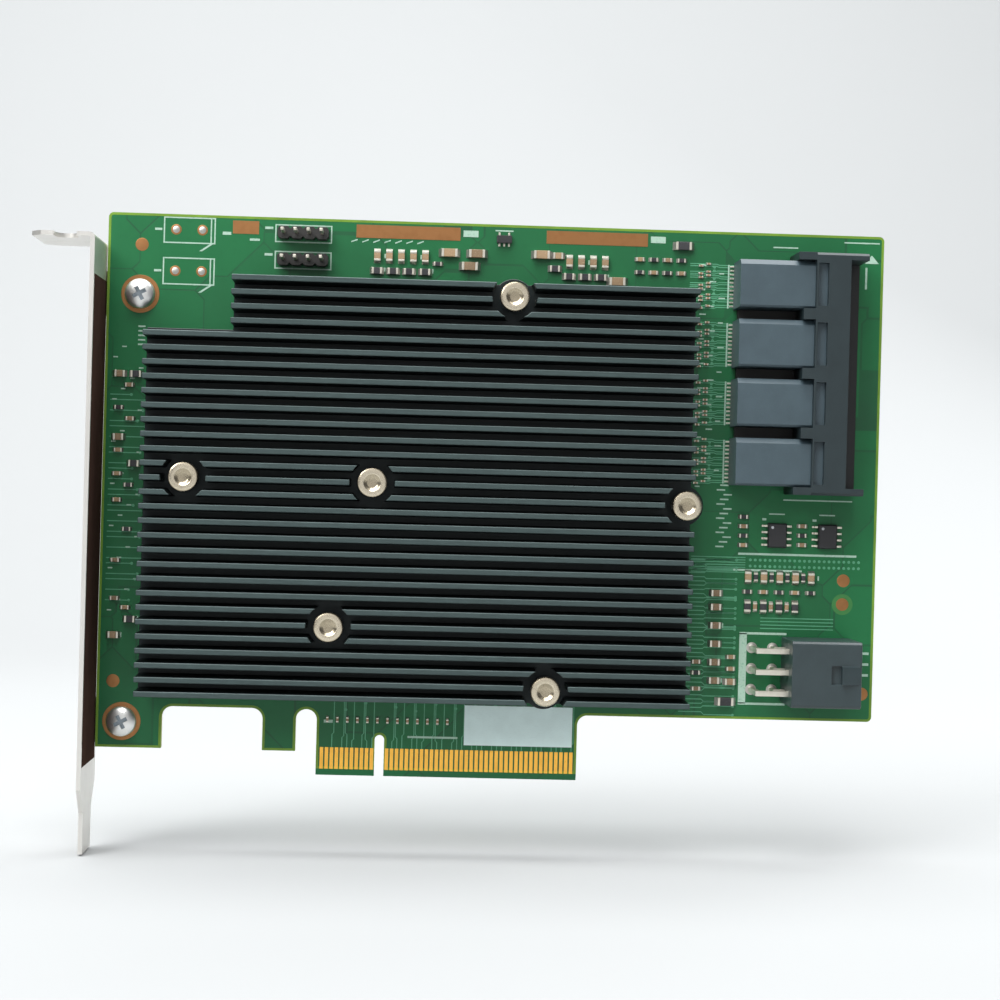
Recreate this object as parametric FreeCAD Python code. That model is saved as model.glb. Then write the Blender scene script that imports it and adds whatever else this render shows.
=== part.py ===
import FreeCAD, Part
import math
import os

from FreeCAD import Vector

os.makedirs("parts", exist_ok=True)

# A full-height host bus adapter, upright as it stands in its slot, in millimetres.
# Origin: the centre of the key slot in the card-edge tongue, on the tongue's lower edge and in
# the middle of the board's thickness. X runs along the card away from the bracket, Z is up, and
# the component side faces -Y. A "height" is measured from the component face towards -Y, so the
# solder face lies at a height of -BOARD_THICKNESS.

# Flats that stand for the curve of a small round part
ROUND_SIDES = 12

# Ends closer than this are one point of an outline
JOIN_TOLERANCE = 1e-6

# Circuit board
BOARD_LENGTH = 155.65
BOARD_HEIGHT = 111.15
BOARD_THICKNESS = 1.57
KEY_FROM_BRACKET_EDGE = 56.5
BOARD_CORNER_R = 1.0
LOWER_EDGE_RISE = 13.1
FOOT_RISE = 4.7
TOOTH_WIDTH = 6.6
RELIEF_WIDTH = 20.1
RELIEF_R = 2.2
SLOT_WIDTH = 4.2
TONGUE_FILLET = 2.0
BEVEL_RISE = 1.3
BEVEL_DEPTH = 0.4

# Card-edge contacts
KEY_WIDTH = 1.9
KEY_DEPTH = 8.25
CONTACT_PITCH = 1.0
CONTACT_WIDTH = 0.7
CONTACT_TOP = 5.6
CONTACT_FROM_KEY = 1.5
SHORT_SIDE_CONTACTS = 11
LONG_SIDE_CONTACTS = 38
TONGUE_END_MARGIN = 1.1
COPPER_THICKNESS = 0.05

# Bracket and its two screws
SHEET = 0.86
BRACKET_WIDTH = 18.42
BRACKET_HEIGHT = 120.02
BRACKET_GAP = 0.25
BEND_R = 0.2
FLANGE_DROP = 5.9
FLANGE_REACH = 11.43
FLANGE_CORNER = 2.0
FLANGE_NOTCH_R = 2.2
FLANGE_NOTCH_DEPTH = 4.4
FLANGE_NOTCH_OUT = 4.8
TIP_WIDTH = 10.2
TIP_LENGTH = 8.0
TIP_TAPER = 5.0
EAR_WIDTH = 9.0
EAR_PAST_SCREW = 4.0
EAR_CORNER_R = 2.0
UPPER_SCREW_INSET = 6.6
UPPER_SCREW_DROP = 16.1
LOWER_SCREW_INSET = 5.1
LOWER_SCREW_RISE = 5.2
SCREW_R = 1.45
SCREW_HEAD_R = 3.0
SCREW_HEAD_HEIGHT = 2.1
SCREW_RIM_HEIGHT = 0.9
SCREW_CROWN_R = 1.8
SCREW_PAST_EAR = 1.6
SCREW_CLEARANCE = 0.15
SCREW_PAD_R = 3.8

# Heat sink
FIN_PITCH = 2.8
FIN_TIP = 1.05
FIN_ROOT = 1.4
FIN_HEIGHT = 7.0
SINK_LEFT_INSET = 8.9
SINK_RIGHT_INSET = 38.65
SINK_RISE = 2.8
SINK_TOP_INSET = 12.6
SINK_BASE = 2.8
PEDESTAL_HEIGHT = 0.6
PEDESTAL_MARGIN = 1.0
CUT_BACK_FINS = 4
CUT_BACK_LENGTH = 16.8
PIN_POCKET_R = 4.4
PIN_LUG_R = 4.0

# Chips under the heat sink, and the pads that couple them to it
CONTROLLER_SIZE = 25.0
SWITCH_SIZE = 21.0
BALL_GAP = 0.4
BALL_MARGIN = 1.2
SUBSTRATE = 0.9
LID_HEIGHT = 1.1
LID_MARGIN = 2.0
PAD_THICKNESS = 0.2
PAD_MARGIN = 0.5
UPPER_CONTROLLER_FROM_LEFT = 58.4
UPPER_CONTROLLER_FROM_TOP = 21.3
LOWER_CONTROLLER_FROM_RIGHT = 14.9
LOWER_CONTROLLER_FROM_BOTTOM = 21.4
SWITCH_FROM_LEFT = 22.8
SWITCH_FROM_BOTTOM = 28.7

# Spring-loaded push pins, one pair across each chip
CONTROLLER_PIN_X = 13.4
CONTROLLER_PIN_Z = 18.5
SWITCH_PIN_X = 14.4
SWITCH_PIN_Z = 14.25
PIN_R = 1.45
PIN_CLEARANCE = 0.15
PIN_HEAD_R = 2.9
PIN_HEAD_THICKNESS = 1.7
PIN_HEAD_BELOW_FINS = 0.3
PIN_RIM = 0.5
PIN_DISH_R = 1.7
PIN_DISH_FLOOR_R = 0.6
PIN_DISH_DEPTH = 0.45
PIN_BARB_R = 1.9
PIN_TIP_R = 0.9
PIN_TIP_LENGTH = 2.4
SPRING_R = 2.3
SPRING_WIRE = 0.5
SPRING_TURNS = 3
SPRING_STEPS_PER_TURN = 8

# Ganged cable receptacle: one shroud in front, a contact block behind each port
PORT_COUNT = 4
PORT_WIDTH = 9.8
PORT_CAVITY = 8.2
PORT_PARTITION = 1.95
SHROUD_END_WALL = 1.4
SHROUD_FLOOR = 1.2
SHROUD_ROOF = 1.2
SHROUD_LENGTH = 10.4
SHROUD_FRONT_INSET = 5.1
SHROUD_TOP_INSET = 4.7
SHROUD_EDGE_CHAMFER = 0.5
PORCH_LENGTH = 3.6
RIB_LENGTH = 2.4
CHEEK_LENGTH = 3.6
LATCH_WINDOW_LENGTH = 2.0
LATCH_WINDOW_WIDTH = 8.4
LATCH_WINDOW_SETBACK = 0.4
BLOCK_LENGTH = 14.9
BLOCK_WIDTH = 9.4
BLOCK_HEIGHT = 9.5
BLOCK_UPPER_CHAMFER = 1.0
BLOCK_LOWER_CHAMFER = 0.4
BLOCK_FIT = 0.1
NOSE_LENGTH = 2.6
CARD_SLOT_WIDTH = 8.2
CARD_SLOT_HEIGHT = 1.3
CARD_SLOT_DEPTH = 2.0
CARD_SLOT_PITCH = 3.6

# Six-way right-angle power header
POWER_PITCH = 4.2
POWER_COLUMNS = 3
POWER_ROWS = 2
POWER_SIDE_WALL = 2.35
POWER_FIRST_ROW = 4.4
POWER_ROOF = 4.2
POWER_LENGTH = 13.8
POWER_FRONT_INSET = 4.9
POWER_RISE = 3.7
POWER_CELL = 3.6
POWER_CELL_DEPTH = 9.6
POWER_CELL_CHAMFER = 0.9
POWER_PIN = 1.07
POWER_PIN_RECESS = 1.8
POWER_TAIL_FROM_BACK = 1.8
POWER_TAIL_PITCH = 4.2
POWER_TAIL_LENGTH = 1.7
POWER_LATCH_WIDTH = 3.6
POWER_LATCH_LENGTH = 4.0
POWER_LATCH_HEIGHT = 1.0
POWER_LATCH_RECESS = 1.9
POWER_RECESS_DEPTH = 0.8
POWER_EDGE_CHAMFER = 0.5

# Two single-row pin headers
HEADER_PITCH = 2.54
HEADER_PINS = 4
HEADER_WIDTH = 2.5
HEADER_BASE = 2.5
HEADER_NICK = 0.5
HEADER_PIN = 0.64
HEADER_PIN_HEIGHT = 8.4
HEADER_TAIL_LENGTH = 1.4
HEADER_INSET = 38.7
HEADER_DROP = 3.15
HEADER_ROW_STEP = 5.3
HEADER_COUNT = 2

# Bare copper on the component face
STRIP_WIDTH = 2.6
STRIP_DROP = 0.9
STRIP_SPANS = ((24.6, 29.8), (49.2, 70.0), (87.3, 107.7))

# Small leaded chips below the receptacle
SMALL_CHIP_WIDTH = 3.9
SMALL_CHIP_HEIGHT = 1.5
SMALL_CHIP_STANDOFF = 0.15
SMALL_CHIP_DRAFT = 0.25
SMALL_CHIP_BELOW_PORTS = 8.3
LEAD_PITCH = 1.27
LEAD_WIDTH = 0.42
LEAD_THICKNESS = 0.2
LEAD_REACH = 1.1
LEAD_FOOT = 0.6
SMALL_CHIP_END = 1.2
SMALL_CHIP_INSETS = (20.3, 10.1)
SMALL_CHIP_LEADS = 4

# Three-terminal regulator at the upper edge
REGULATOR_LENGTH = 3.0
REGULATOR_WIDTH = 1.5
REGULATOR_HEIGHT = 1.1
REGULATOR_FROM_LEFT = 78.8
REGULATOR_DROP = 3.0
REGULATOR_LEAD_PITCH = 0.95
REGULATOR_LEAD_REACH = 0.65

# Two-ended chip capacitors and resistors
PASSIVE_LENGTH = 2.1
PASSIVE_WIDTH = 1.3
PASSIVE_HEIGHT = 0.9
PASSIVE_END = 0.45
PASSIVE_CLOSE_GAP = 1.1
PASSIVE_COLUMN_GAP = 2.4
POWER_GROUP_ROWS = 2
CAPACITORS_ABOVE_SINK = 5.6
RESISTORS_ABOVE_SINK = 2.6
UPPER_GROUP_INSETS = (53.5, 92.0)
UPPER_CAPACITOR_COUNTS = (5, 4)
UPPER_RESISTOR_COUNTS = (4, 3)
POWER_CAPACITOR_COUNT = 5
POWER_RESISTOR_COUNT = 4
POWER_GROUP_BACK = 7.2
COLUMN_COUNT = 5
COLUMN_PAST_SINK = 6.4
COLUMN_RISE = 4.0
LEFT_GROUP_INSET = 3.0
LEFT_CAPACITOR_DROPS = (19.4, 32.0, 71.4)
LEFT_RESISTOR_DROPS = (19.4, 37.2, 68.2)

# Paper label on the tongue
LABEL_LENGTH = 21.7
LABEL_HEIGHT = 8.0
LABEL_THICKNESS = 0.1
LABEL_END_GAP = 1.0
LABEL_ABOVE_CONTACTS = 1.0

# Derived edges of the board
LEFT = -KEY_FROM_BRACKET_EDGE
RIGHT = LEFT + BOARD_LENGTH
TOP = BOARD_HEIGHT
BACK = -BOARD_THICKNESS
TONGUE_LEFT = -(CONTACT_FROM_KEY + (SHORT_SIDE_CONTACTS - 1) * CONTACT_PITCH + TONGUE_END_MARGIN)
TONGUE_RIGHT = CONTACT_FROM_KEY + (LONG_SIDE_CONTACTS - 1) * CONTACT_PITCH + TONGUE_END_MARGIN
TOOTH_RIGHT = TONGUE_LEFT - SLOT_WIDTH
TOOTH_LEFT = TOOTH_RIGHT - TOOTH_WIDTH
FOOT_RIGHT = TOOTH_LEFT - RELIEF_WIDTH

# Derived stack under the fins
CHIP_TOP = BALL_GAP + SUBSTRATE + LID_HEIGHT
PEDESTAL_FACE = CHIP_TOP + PAD_THICKNESS
SINK_UNDERSIDE = PEDESTAL_FACE + PEDESTAL_HEIGHT
SINK_FLOOR = SINK_UNDERSIDE + SINK_BASE
FIN_TOP = SINK_FLOOR + FIN_HEIGHT
SINK_LEFT = LEFT + SINK_LEFT_INSET
SINK_RIGHT = RIGHT - SINK_RIGHT_INSET
SINK_BOTTOM = LOWER_EDGE_RISE + SINK_RISE
FIN_COUNT = 1 + math.floor((TOP - SINK_TOP_INSET - SINK_BOTTOM - FIN_ROOT) / FIN_PITCH)
SINK_TOP = SINK_BOTTOM + (FIN_COUNT - 1) * FIN_PITCH + FIN_ROOT
PIN_HEAD_TOP = FIN_TOP - PIN_HEAD_BELOW_FINS
PIN_HEAD_SEAT = PIN_HEAD_TOP - PIN_HEAD_THICKNESS

# Chip centres and the push pins across them
UPPER_CONTROLLER = (SINK_LEFT + UPPER_CONTROLLER_FROM_LEFT, SINK_TOP - UPPER_CONTROLLER_FROM_TOP)
LOWER_CONTROLLER = (SINK_RIGHT - LOWER_CONTROLLER_FROM_RIGHT, SINK_BOTTOM + LOWER_CONTROLLER_FROM_BOTTOM)
SWITCH = (SINK_LEFT + SWITCH_FROM_LEFT, SINK_BOTTOM + SWITCH_FROM_BOTTOM)
CHIPS = (
    (UPPER_CONTROLLER, CONTROLLER_SIZE),
    (LOWER_CONTROLLER, CONTROLLER_SIZE),
    (SWITCH, SWITCH_SIZE),
)
PINS = (
    (UPPER_CONTROLLER[0] + CONTROLLER_PIN_X, UPPER_CONTROLLER[1] + CONTROLLER_PIN_Z),
    (UPPER_CONTROLLER[0] - CONTROLLER_PIN_X, UPPER_CONTROLLER[1] - CONTROLLER_PIN_Z),
    (LOWER_CONTROLLER[0] + CONTROLLER_PIN_X, LOWER_CONTROLLER[1] + CONTROLLER_PIN_Z),
    (LOWER_CONTROLLER[0] - CONTROLLER_PIN_X, LOWER_CONTROLLER[1] - CONTROLLER_PIN_Z),
    (SWITCH[0] - SWITCH_PIN_X, SWITCH[1] + SWITCH_PIN_Z),
    (SWITCH[0] + SWITCH_PIN_X, SWITCH[1] - SWITCH_PIN_Z),
)

# Bracket planes and screw axes
BRACKET_INNER = LEFT - BRACKET_GAP
BRACKET_OUTER = BRACKET_INNER - SHEET
FLANGE_TOP = TOP - FLANGE_DROP
BRACKET_TIP = FLANGE_TOP - BRACKET_HEIGHT
BRACKET_REAR = BACK - SHEET
BRACKET_NEAR = BRACKET_REAR + BRACKET_WIDTH
SCREWS = (
    (LEFT + UPPER_SCREW_INSET, TOP - UPPER_SCREW_DROP),
    (LEFT + LOWER_SCREW_INSET, FOOT_RISE + LOWER_SCREW_RISE),
)
SCREW_HOLE_R = SCREW_R + SCREW_CLEARANCE

# Receptacle planes
SHROUD_FRONT = RIGHT - SHROUD_FRONT_INSET
SHROUD_REAR = SHROUD_FRONT - SHROUD_LENGTH
SHROUD_HEIGHT = SHROUD_FLOOR + PORT_CAVITY + SHROUD_ROOF
SHROUD_TOP = TOP - SHROUD_TOP_INSET
PORT_PITCH = PORT_WIDTH + PORT_PARTITION
SHROUD_BOTTOM = SHROUD_TOP - 2 * SHROUD_END_WALL - PORT_COUNT * PORT_PITCH + PORT_PARTITION
PORTS = [SHROUD_TOP - SHROUD_END_WALL - PORT_WIDTH / 2 - i * PORT_PITCH for i in range(PORT_COUNT)]

# Power header planes, contact rows and tails
POWER_FRONT = RIGHT - POWER_FRONT_INSET
POWER_REAR = POWER_FRONT - POWER_LENGTH
POWER_WIDTH = (POWER_COLUMNS - 1) * POWER_PITCH + 2 * POWER_SIDE_WALL
POWER_BOTTOM = LOWER_EDGE_RISE + POWER_RISE
POWER_TOP = POWER_BOTTOM + POWER_WIDTH
POWER_HEIGHT = POWER_FIRST_ROW + (POWER_ROWS - 1) * POWER_PITCH + POWER_ROOF
POWER_CELLS = [
    (POWER_BOTTOM + POWER_SIDE_WALL + column * POWER_PITCH, row)
    for row in range(POWER_ROWS)
    for column in range(POWER_COLUMNS)
]

# Pin headers, small chips and the passives between those chips and the power header
HEADERS = [(LEFT + HEADER_INSET, TOP - HEADER_DROP - i * HEADER_ROW_STEP) for i in range(HEADER_COUNT)]
HEADER_OFFSETS = [(i - (HEADER_PINS - 1) / 2) * HEADER_PITCH for i in range(HEADER_PINS)]
SMALL_CHIP_Z = SHROUD_BOTTOM - SMALL_CHIP_BELOW_PORTS
SMALL_CHIP_LENGTH = (SMALL_CHIP_LEADS - 1) * LEAD_PITCH + SMALL_CHIP_END
PASSIVE_ROW_STEP = (SMALL_CHIP_Z - SMALL_CHIP_LENGTH / 2 - POWER_TOP) / (POWER_GROUP_ROWS + 1)


def level(height):
    """Y of a height above the component face."""
    return -BOARD_THICKNESS / 2 - height


def in_xz(a, b):
    return Vector(a, 0, b)


def in_yz(a, b):
    return Vector(0, a, b)


def in_xy(a, b):
    return Vector(a, b, 0)


def profile(corners, plane):
    """Face through corners (a, b, radius) on one plane; a radius of 0 leaves the corner sharp."""
    points = [plane(a, b) for a, b, _ in corners]
    edges = []
    joints = []
    for i, (_, _, radius) in enumerate(corners):
        corner = points[i]
        towards_last = (points[i - 1] - corner).normalize()
        towards_next = (points[(i + 1) % len(points)] - corner).normalize()
        if radius == 0:
            joints.append((corner, corner))
            continue
        half = towards_last.getAngle(towards_next) / 2
        run = radius / math.tan(half)
        inward = (towards_last + towards_next).normalize()
        start = corner + towards_last * run
        end = corner + towards_next * run
        middle = corner + inward * (radius / math.sin(half) - radius)
        edges.append(Part.Arc(start, middle, end).toShape())
        joints.append((start, end))
    for i, (start, _) in enumerate(joints):
        previous = joints[i - 1][1]
        if previous.distanceToPoint(start) > JOIN_TOLERANCE:
            edges.append(Part.LineSegment(previous, start).toShape())
    return Part.Face(Part.Wire(Part.__sortEdges__(edges)))


def rectangle(a0, a1, b0, b1):
    """Corner list of a rectangle."""
    return [(a0, b0, 0), (a1, b0, 0), (a1, b1, 0), (a0, b1, 0)]


def raised(corners, low, high):
    """Outline on the board's plane, swept from one height to another."""
    face = profile(corners, in_xz)
    face.translate(Vector(0, level(high), 0))
    return face.extrude(Vector(0, high - low, 0))


def along_x(corners, start, end):
    """Cross-section of (Y, Z) corners swept along the card."""
    face = profile(corners, in_yz)
    face.translate(Vector(start, 0, 0))
    return face.extrude(Vector(end - start, 0, 0))


def along_z(corners, start, end):
    """Cross-section of (X, Y) corners swept upwards."""
    face = profile(corners, in_xy)
    face.translate(Vector(0, 0, start))
    return face.extrude(Vector(0, 0, end - start))


def post(x, z, radius, low, high):
    """Round solid standing on the board's plane."""
    return Part.makeCylinder(radius, high - low, Vector(x, level(low), z), Vector(0, -1, 0))


def flats(x, z, radius):
    """Corner list of the few-sided outline of a small round part."""
    turns = [2 * math.pi * i / ROUND_SIDES for i in range(ROUND_SIDES)]
    return [(x + radius * math.cos(turn), z + radius * math.sin(turn), 0) for turn in turns]


def small_post(x, z, radius, low, high):
    """Small round solid standing on the board's plane."""
    return raised(flats(x, z, radius), low, high)


def taper(x, z, low_radius, low, high_radius, high):
    """Small round solid of flat faces whose radius changes evenly with its height."""
    lower, upper = (
        [Vector(a, level(height), b) for a, b, _ in flats(x, z, radius)]
        for radius, height in ((low_radius, low), (high_radius, high))
    )
    sides = [[lower[i - 1], lower[i], upper[i], upper[i - 1]] for i in range(ROUND_SIDES)]
    faces = [Part.Face(Part.makePolygon(ring + ring[:1])) for ring in [lower, upper, *sides]]
    solid = Part.makeSolid(Part.makeShell(faces))
    if solid.Volume < 0:
        solid.reverse()
    return solid


def square_bar(x, z, side, low, high):
    """Square pin standing on the board's plane."""
    half = side / 2
    return raised(rectangle(x - half, x + half, z - half, z + half), low, high)


def circuit_board():
    """Board outline with the foot, relief, tooth, tongue and key slot along its lower edge."""
    half_key = KEY_WIDTH / 2
    corners = [
        (LEFT, TOP, BOARD_CORNER_R),
        (RIGHT, TOP, BOARD_CORNER_R),
        (RIGHT, LOWER_EDGE_RISE, BOARD_CORNER_R),
        (TONGUE_RIGHT, LOWER_EDGE_RISE, TONGUE_FILLET),
        (TONGUE_RIGHT, 0, 0),
        (half_key, 0, 0),
        (half_key, KEY_DEPTH, half_key),
        (-half_key, KEY_DEPTH, half_key),
        (-half_key, 0, 0),
        (TONGUE_LEFT, 0, 0),
        (TONGUE_LEFT, LOWER_EDGE_RISE, SLOT_WIDTH / 2),
        (TOOTH_RIGHT, LOWER_EDGE_RISE, SLOT_WIDTH / 2),
        (TOOTH_RIGHT, FOOT_RISE, 0),
        (TOOTH_LEFT, FOOT_RISE, 0),
        (TOOTH_LEFT, LOWER_EDGE_RISE, RELIEF_R),
        (FOOT_RIGHT, LOWER_EDGE_RISE, RELIEF_R),
        (FOOT_RIGHT, FOOT_RISE, 0),
        (LEFT, FOOT_RISE, 0),
    ]
    holes = [small_post(x, z, SCREW_HOLE_R, BACK, 0) for x, z in SCREWS]
    holes += [small_post(x, z, PIN_R + PIN_CLEARANCE, BACK, 0) for x, z in PINS]
    holes += [square_bar(power_tail(row), z, POWER_PIN, BACK, 0) for z, row in POWER_CELLS]
    holes += [square_bar(x + dx, z, HEADER_PIN, BACK, 0) for x, z in HEADERS for dx in HEADER_OFFSETS]
    board = raised(corners, BACK, 0).cut(Part.makeCompound(holes))
    for side in (-1, 1):
        face = side * BOARD_THICKNESS / 2
        wedge = [(face, 0, 0), (face - side * BEVEL_DEPTH, 0, 0), (face, BEVEL_RISE, 0)]
        board = board.cut(along_x(wedge, TONGUE_LEFT, TONGUE_RIGHT))
    return board


def edge_contacts(low, high):
    """One row of gold contacts on the tongue, a short run and a long run each side of the key."""
    places = [-CONTACT_FROM_KEY - i * CONTACT_PITCH for i in range(SHORT_SIDE_CONTACTS)]
    places += [CONTACT_FROM_KEY + i * CONTACT_PITCH for i in range(LONG_SIDE_CONTACTS)]
    half = CONTACT_WIDTH / 2
    pads = [raised(rectangle(x - half, x + half, BEVEL_RISE, CONTACT_TOP), low, high) for x in places]
    return Part.makeCompound(pads)


def copper_pads():
    """Bare copper on the component face: strips along the upper edge and a land under each screw."""
    upper = TOP - STRIP_DROP
    pads = [
        raised(rectangle(LEFT + start, LEFT + end, upper - STRIP_WIDTH, upper), 0, COPPER_THICKNESS)
        for start, end in STRIP_SPANS
    ]
    for x, z in SCREWS:
        disc = small_post(x, z, SCREW_PAD_R, 0, COPPER_THICKNESS)
        pads.append(disc.cut(small_post(x, z, SCREW_HOLE_R, 0, COPPER_THICKNESS)))
    return Part.makeCompound(pads)


def bracket_ear(x, z):
    """Tab folded from the bracket's rear edge to lie on the solder face under one screw."""
    inner_face = level(BACK)
    outer_face = level(BRACKET_REAR)
    end = x + EAR_PAST_SCREW
    fold = [
        (BRACKET_OUTER, inner_face - BEND_R, 0),
        (BRACKET_INNER, inner_face - BEND_R, 0),
        (BRACKET_INNER, inner_face, BEND_R),
        (end, inner_face, 0),
        (end, outer_face, 0),
        (BRACKET_OUTER, outer_face, BEND_R + SHEET),
    ]
    low = z - EAR_WIDTH / 2
    high = z + EAR_WIDTH / 2
    trim = [
        (BRACKET_OUTER, low, 0),
        (end, low, EAR_CORNER_R),
        (end, high, EAR_CORNER_R),
        (BRACKET_OUTER, high, 0),
    ]
    ear = along_z(fold, low, high).common(raised(trim, BRACKET_REAR, BACK + BEND_R))
    return ear.cut(small_post(x, z, SCREW_HOLE_R, BRACKET_REAR, BACK))


def bracket():
    """Folded sheet: plate, outward top flange with an open screw notch, tapered tip, two ears."""
    flange_end = BRACKET_OUTER - FLANGE_REACH
    fold = [
        (BRACKET_OUTER, BRACKET_TIP, 0),
        (BRACKET_INNER, BRACKET_TIP, 0),
        (BRACKET_INNER, FLANGE_TOP, BEND_R + SHEET),
        (flange_end, FLANGE_TOP, 0),
        (flange_end, FLANGE_TOP - SHEET, 0),
        (BRACKET_OUTER, FLANGE_TOP - SHEET, BEND_R),
    ]
    sheet = raised(fold, BRACKET_REAR, BRACKET_NEAR)
    near = level(BRACKET_NEAR)
    rear = level(BRACKET_REAR)
    middle = (near + rear) / 2
    shoulder = BRACKET_TIP + TIP_LENGTH
    for side, edge in ((-1, near), (1, rear)):
        waist = middle + side * TIP_WIDTH / 2
        taper = [
            (edge, BRACKET_TIP, 0),
            (waist, BRACKET_TIP, 0),
            (waist, shoulder, 0),
            (edge, shoulder + TIP_TAPER, 0),
        ]
        sheet = sheet.cut(along_x(taper, BRACKET_OUTER, BRACKET_INNER))
        corner = [
            (flange_end, edge, 0),
            (flange_end + FLANGE_CORNER, edge, 0),
            (flange_end, edge - side * FLANGE_CORNER, 0),
        ]
        sheet = sheet.cut(along_z(corner, FLANGE_TOP - SHEET, FLANGE_TOP))
    notch_x = BRACKET_OUTER - FLANGE_NOTCH_OUT
    notch = [
        (notch_x - FLANGE_NOTCH_R, near, 0),
        (notch_x + FLANGE_NOTCH_R, near, 0),
        (notch_x + FLANGE_NOTCH_R, near + FLANGE_NOTCH_DEPTH, FLANGE_NOTCH_R),
        (notch_x - FLANGE_NOTCH_R, near + FLANGE_NOTCH_DEPTH, FLANGE_NOTCH_R),
    ]
    sheet = sheet.cut(along_z(notch, FLANGE_TOP - SHEET, FLANGE_TOP))
    for x, z in SCREWS:
        low = z - EAR_WIDTH / 2
        high = z + EAR_WIDTH / 2
        root = rectangle(BRACKET_OUTER, BRACKET_INNER, low, high)
        sheet = sheet.cut(raised(root, BRACKET_REAR, BACK + BEND_R))
        sheet = sheet.fuse(bracket_ear(x, z))
    return sheet.removeSplitter()


def bracket_screw(x, z):
    """Pan-head screw seated on its copper land and reaching past the ear."""
    seat = COPPER_THICKNESS
    rim = seat + SCREW_RIM_HEIGHT
    crown = seat + SCREW_HEAD_HEIGHT
    shank = small_post(x, z, SCREW_R, BRACKET_REAR - SCREW_PAST_EAR, seat)
    head = small_post(x, z, SCREW_HEAD_R, seat, rim)
    dome = taper(x, z, SCREW_HEAD_R, rim, SCREW_CROWN_R, crown)
    return shank.multiFuse([head, dome]).removeSplitter()


def heat_sink():
    """Extruded comb of tapered fins, cut back at one corner, with a round pocket at each pin."""
    floor = level(SINK_FLOOR)
    tip = level(FIN_TOP)
    comb = [(level(SINK_UNDERSIDE), SINK_TOP, 0), (level(SINK_UNDERSIDE), SINK_BOTTOM, 0)]
    for i in range(FIN_COUNT):
        middle = SINK_BOTTOM + FIN_ROOT / 2 + i * FIN_PITCH
        comb += [
            (floor, middle - FIN_ROOT / 2, 0),
            (tip, middle - FIN_TIP / 2, 0),
            (tip, middle + FIN_TIP / 2, 0),
            (floor, middle + FIN_ROOT / 2, 0),
        ]
    sink = along_x(comb, SINK_LEFT, SINK_RIGHT)
    step = SINK_TOP - (CUT_BACK_FINS - 1) * FIN_PITCH - FIN_ROOT - (FIN_PITCH - FIN_ROOT) / 2
    corner = rectangle(SINK_LEFT, SINK_LEFT + CUT_BACK_LENGTH, step, SINK_TOP)
    sink = sink.cut(raised(corner, SINK_UNDERSIDE, FIN_TOP))
    pockets = [post(x, z, PIN_POCKET_R, SINK_FLOOR, FIN_TOP) for x, z in PINS]
    sink = sink.cut(Part.makeCompound(pockets))
    added = [post(x, z, PIN_LUG_R, SINK_UNDERSIDE, SINK_FLOOR) for x, z in PINS]
    for (x, z), size in CHIPS:
        half = size / 2 - LID_MARGIN + PEDESTAL_MARGIN
        added.append(raised(rectangle(x - half, x + half, z - half, z + half), PEDESTAL_FACE, SINK_UNDERSIDE))
    sink = sink.multiFuse(added)
    holes = [small_post(x, z, PIN_R + PIN_CLEARANCE, SINK_UNDERSIDE, SINK_FLOOR) for x, z in PINS]
    return sink.cut(Part.makeCompound(holes)).removeSplitter()


def push_pin(x, z):
    """Dished head above the spring, a plain shank, and a barb that catches the solder face."""
    rim = PIN_HEAD_TOP - PIN_RIM
    barb = taper(x, z, PIN_TIP_R, BACK - PIN_TIP_LENGTH, PIN_BARB_R, BACK)
    shank = small_post(x, z, PIN_R, BACK, PIN_HEAD_SEAT)
    head = small_post(x, z, PIN_HEAD_R, PIN_HEAD_SEAT, rim)
    edge = taper(x, z, PIN_HEAD_R, rim, PIN_HEAD_R - PIN_RIM, PIN_HEAD_TOP)
    dish = taper(x, z, PIN_DISH_FLOOR_R, PIN_HEAD_TOP - PIN_DISH_DEPTH, PIN_DISH_R, PIN_HEAD_TOP)
    return shank.multiFuse([barb, head, edge]).cut(dish).removeSplitter()


def pin_spring(x, z):
    """Coil of square wire between the heat sink's floor and the pin's head."""
    half = SPRING_WIRE / 2
    bottom = SINK_FLOOR + half
    rise = PIN_HEAD_SEAT - half - bottom
    steps = round(SPRING_TURNS * SPRING_STEPS_PER_TURN)
    sections = []
    for i in range(steps + 1):
        turn = 2 * math.pi * i / SPRING_STEPS_PER_TURN
        outward = Vector(math.cos(turn), 0, math.sin(turn))
        centre = Vector(x, level(bottom + rise * i / steps), z) + outward * SPRING_R
        up = Vector(0, -half, 0)
        out = outward * half
        corners = [centre + out + up, centre + out - up, centre - out - up, centre - out + up]
        sections.append(Part.makePolygon(corners + corners[:1]))
    return Part.makeLoft(sections, True, True)


def chip_package(centre, size):
    """Ball-grid package: recessed ball field, substrate and metal lid."""
    x, z = centre
    layers = (
        (size - 2 * BALL_MARGIN, 0, BALL_GAP),
        (size, BALL_GAP, BALL_GAP + SUBSTRATE),
        (size - 2 * LID_MARGIN, BALL_GAP + SUBSTRATE, CHIP_TOP),
    )
    solids = [square_bar(x, z, side, low, high) for side, low, high in layers]
    return solids[0].multiFuse(solids[1:])


def thermal_pad(centre, size):
    """Soft pad between a chip's lid and the heat sink's pedestal."""
    x, z = centre
    return square_bar(x, z, size - 2 * (LID_MARGIN + PAD_MARGIN), CHIP_TOP, PEDESTAL_FACE)


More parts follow.
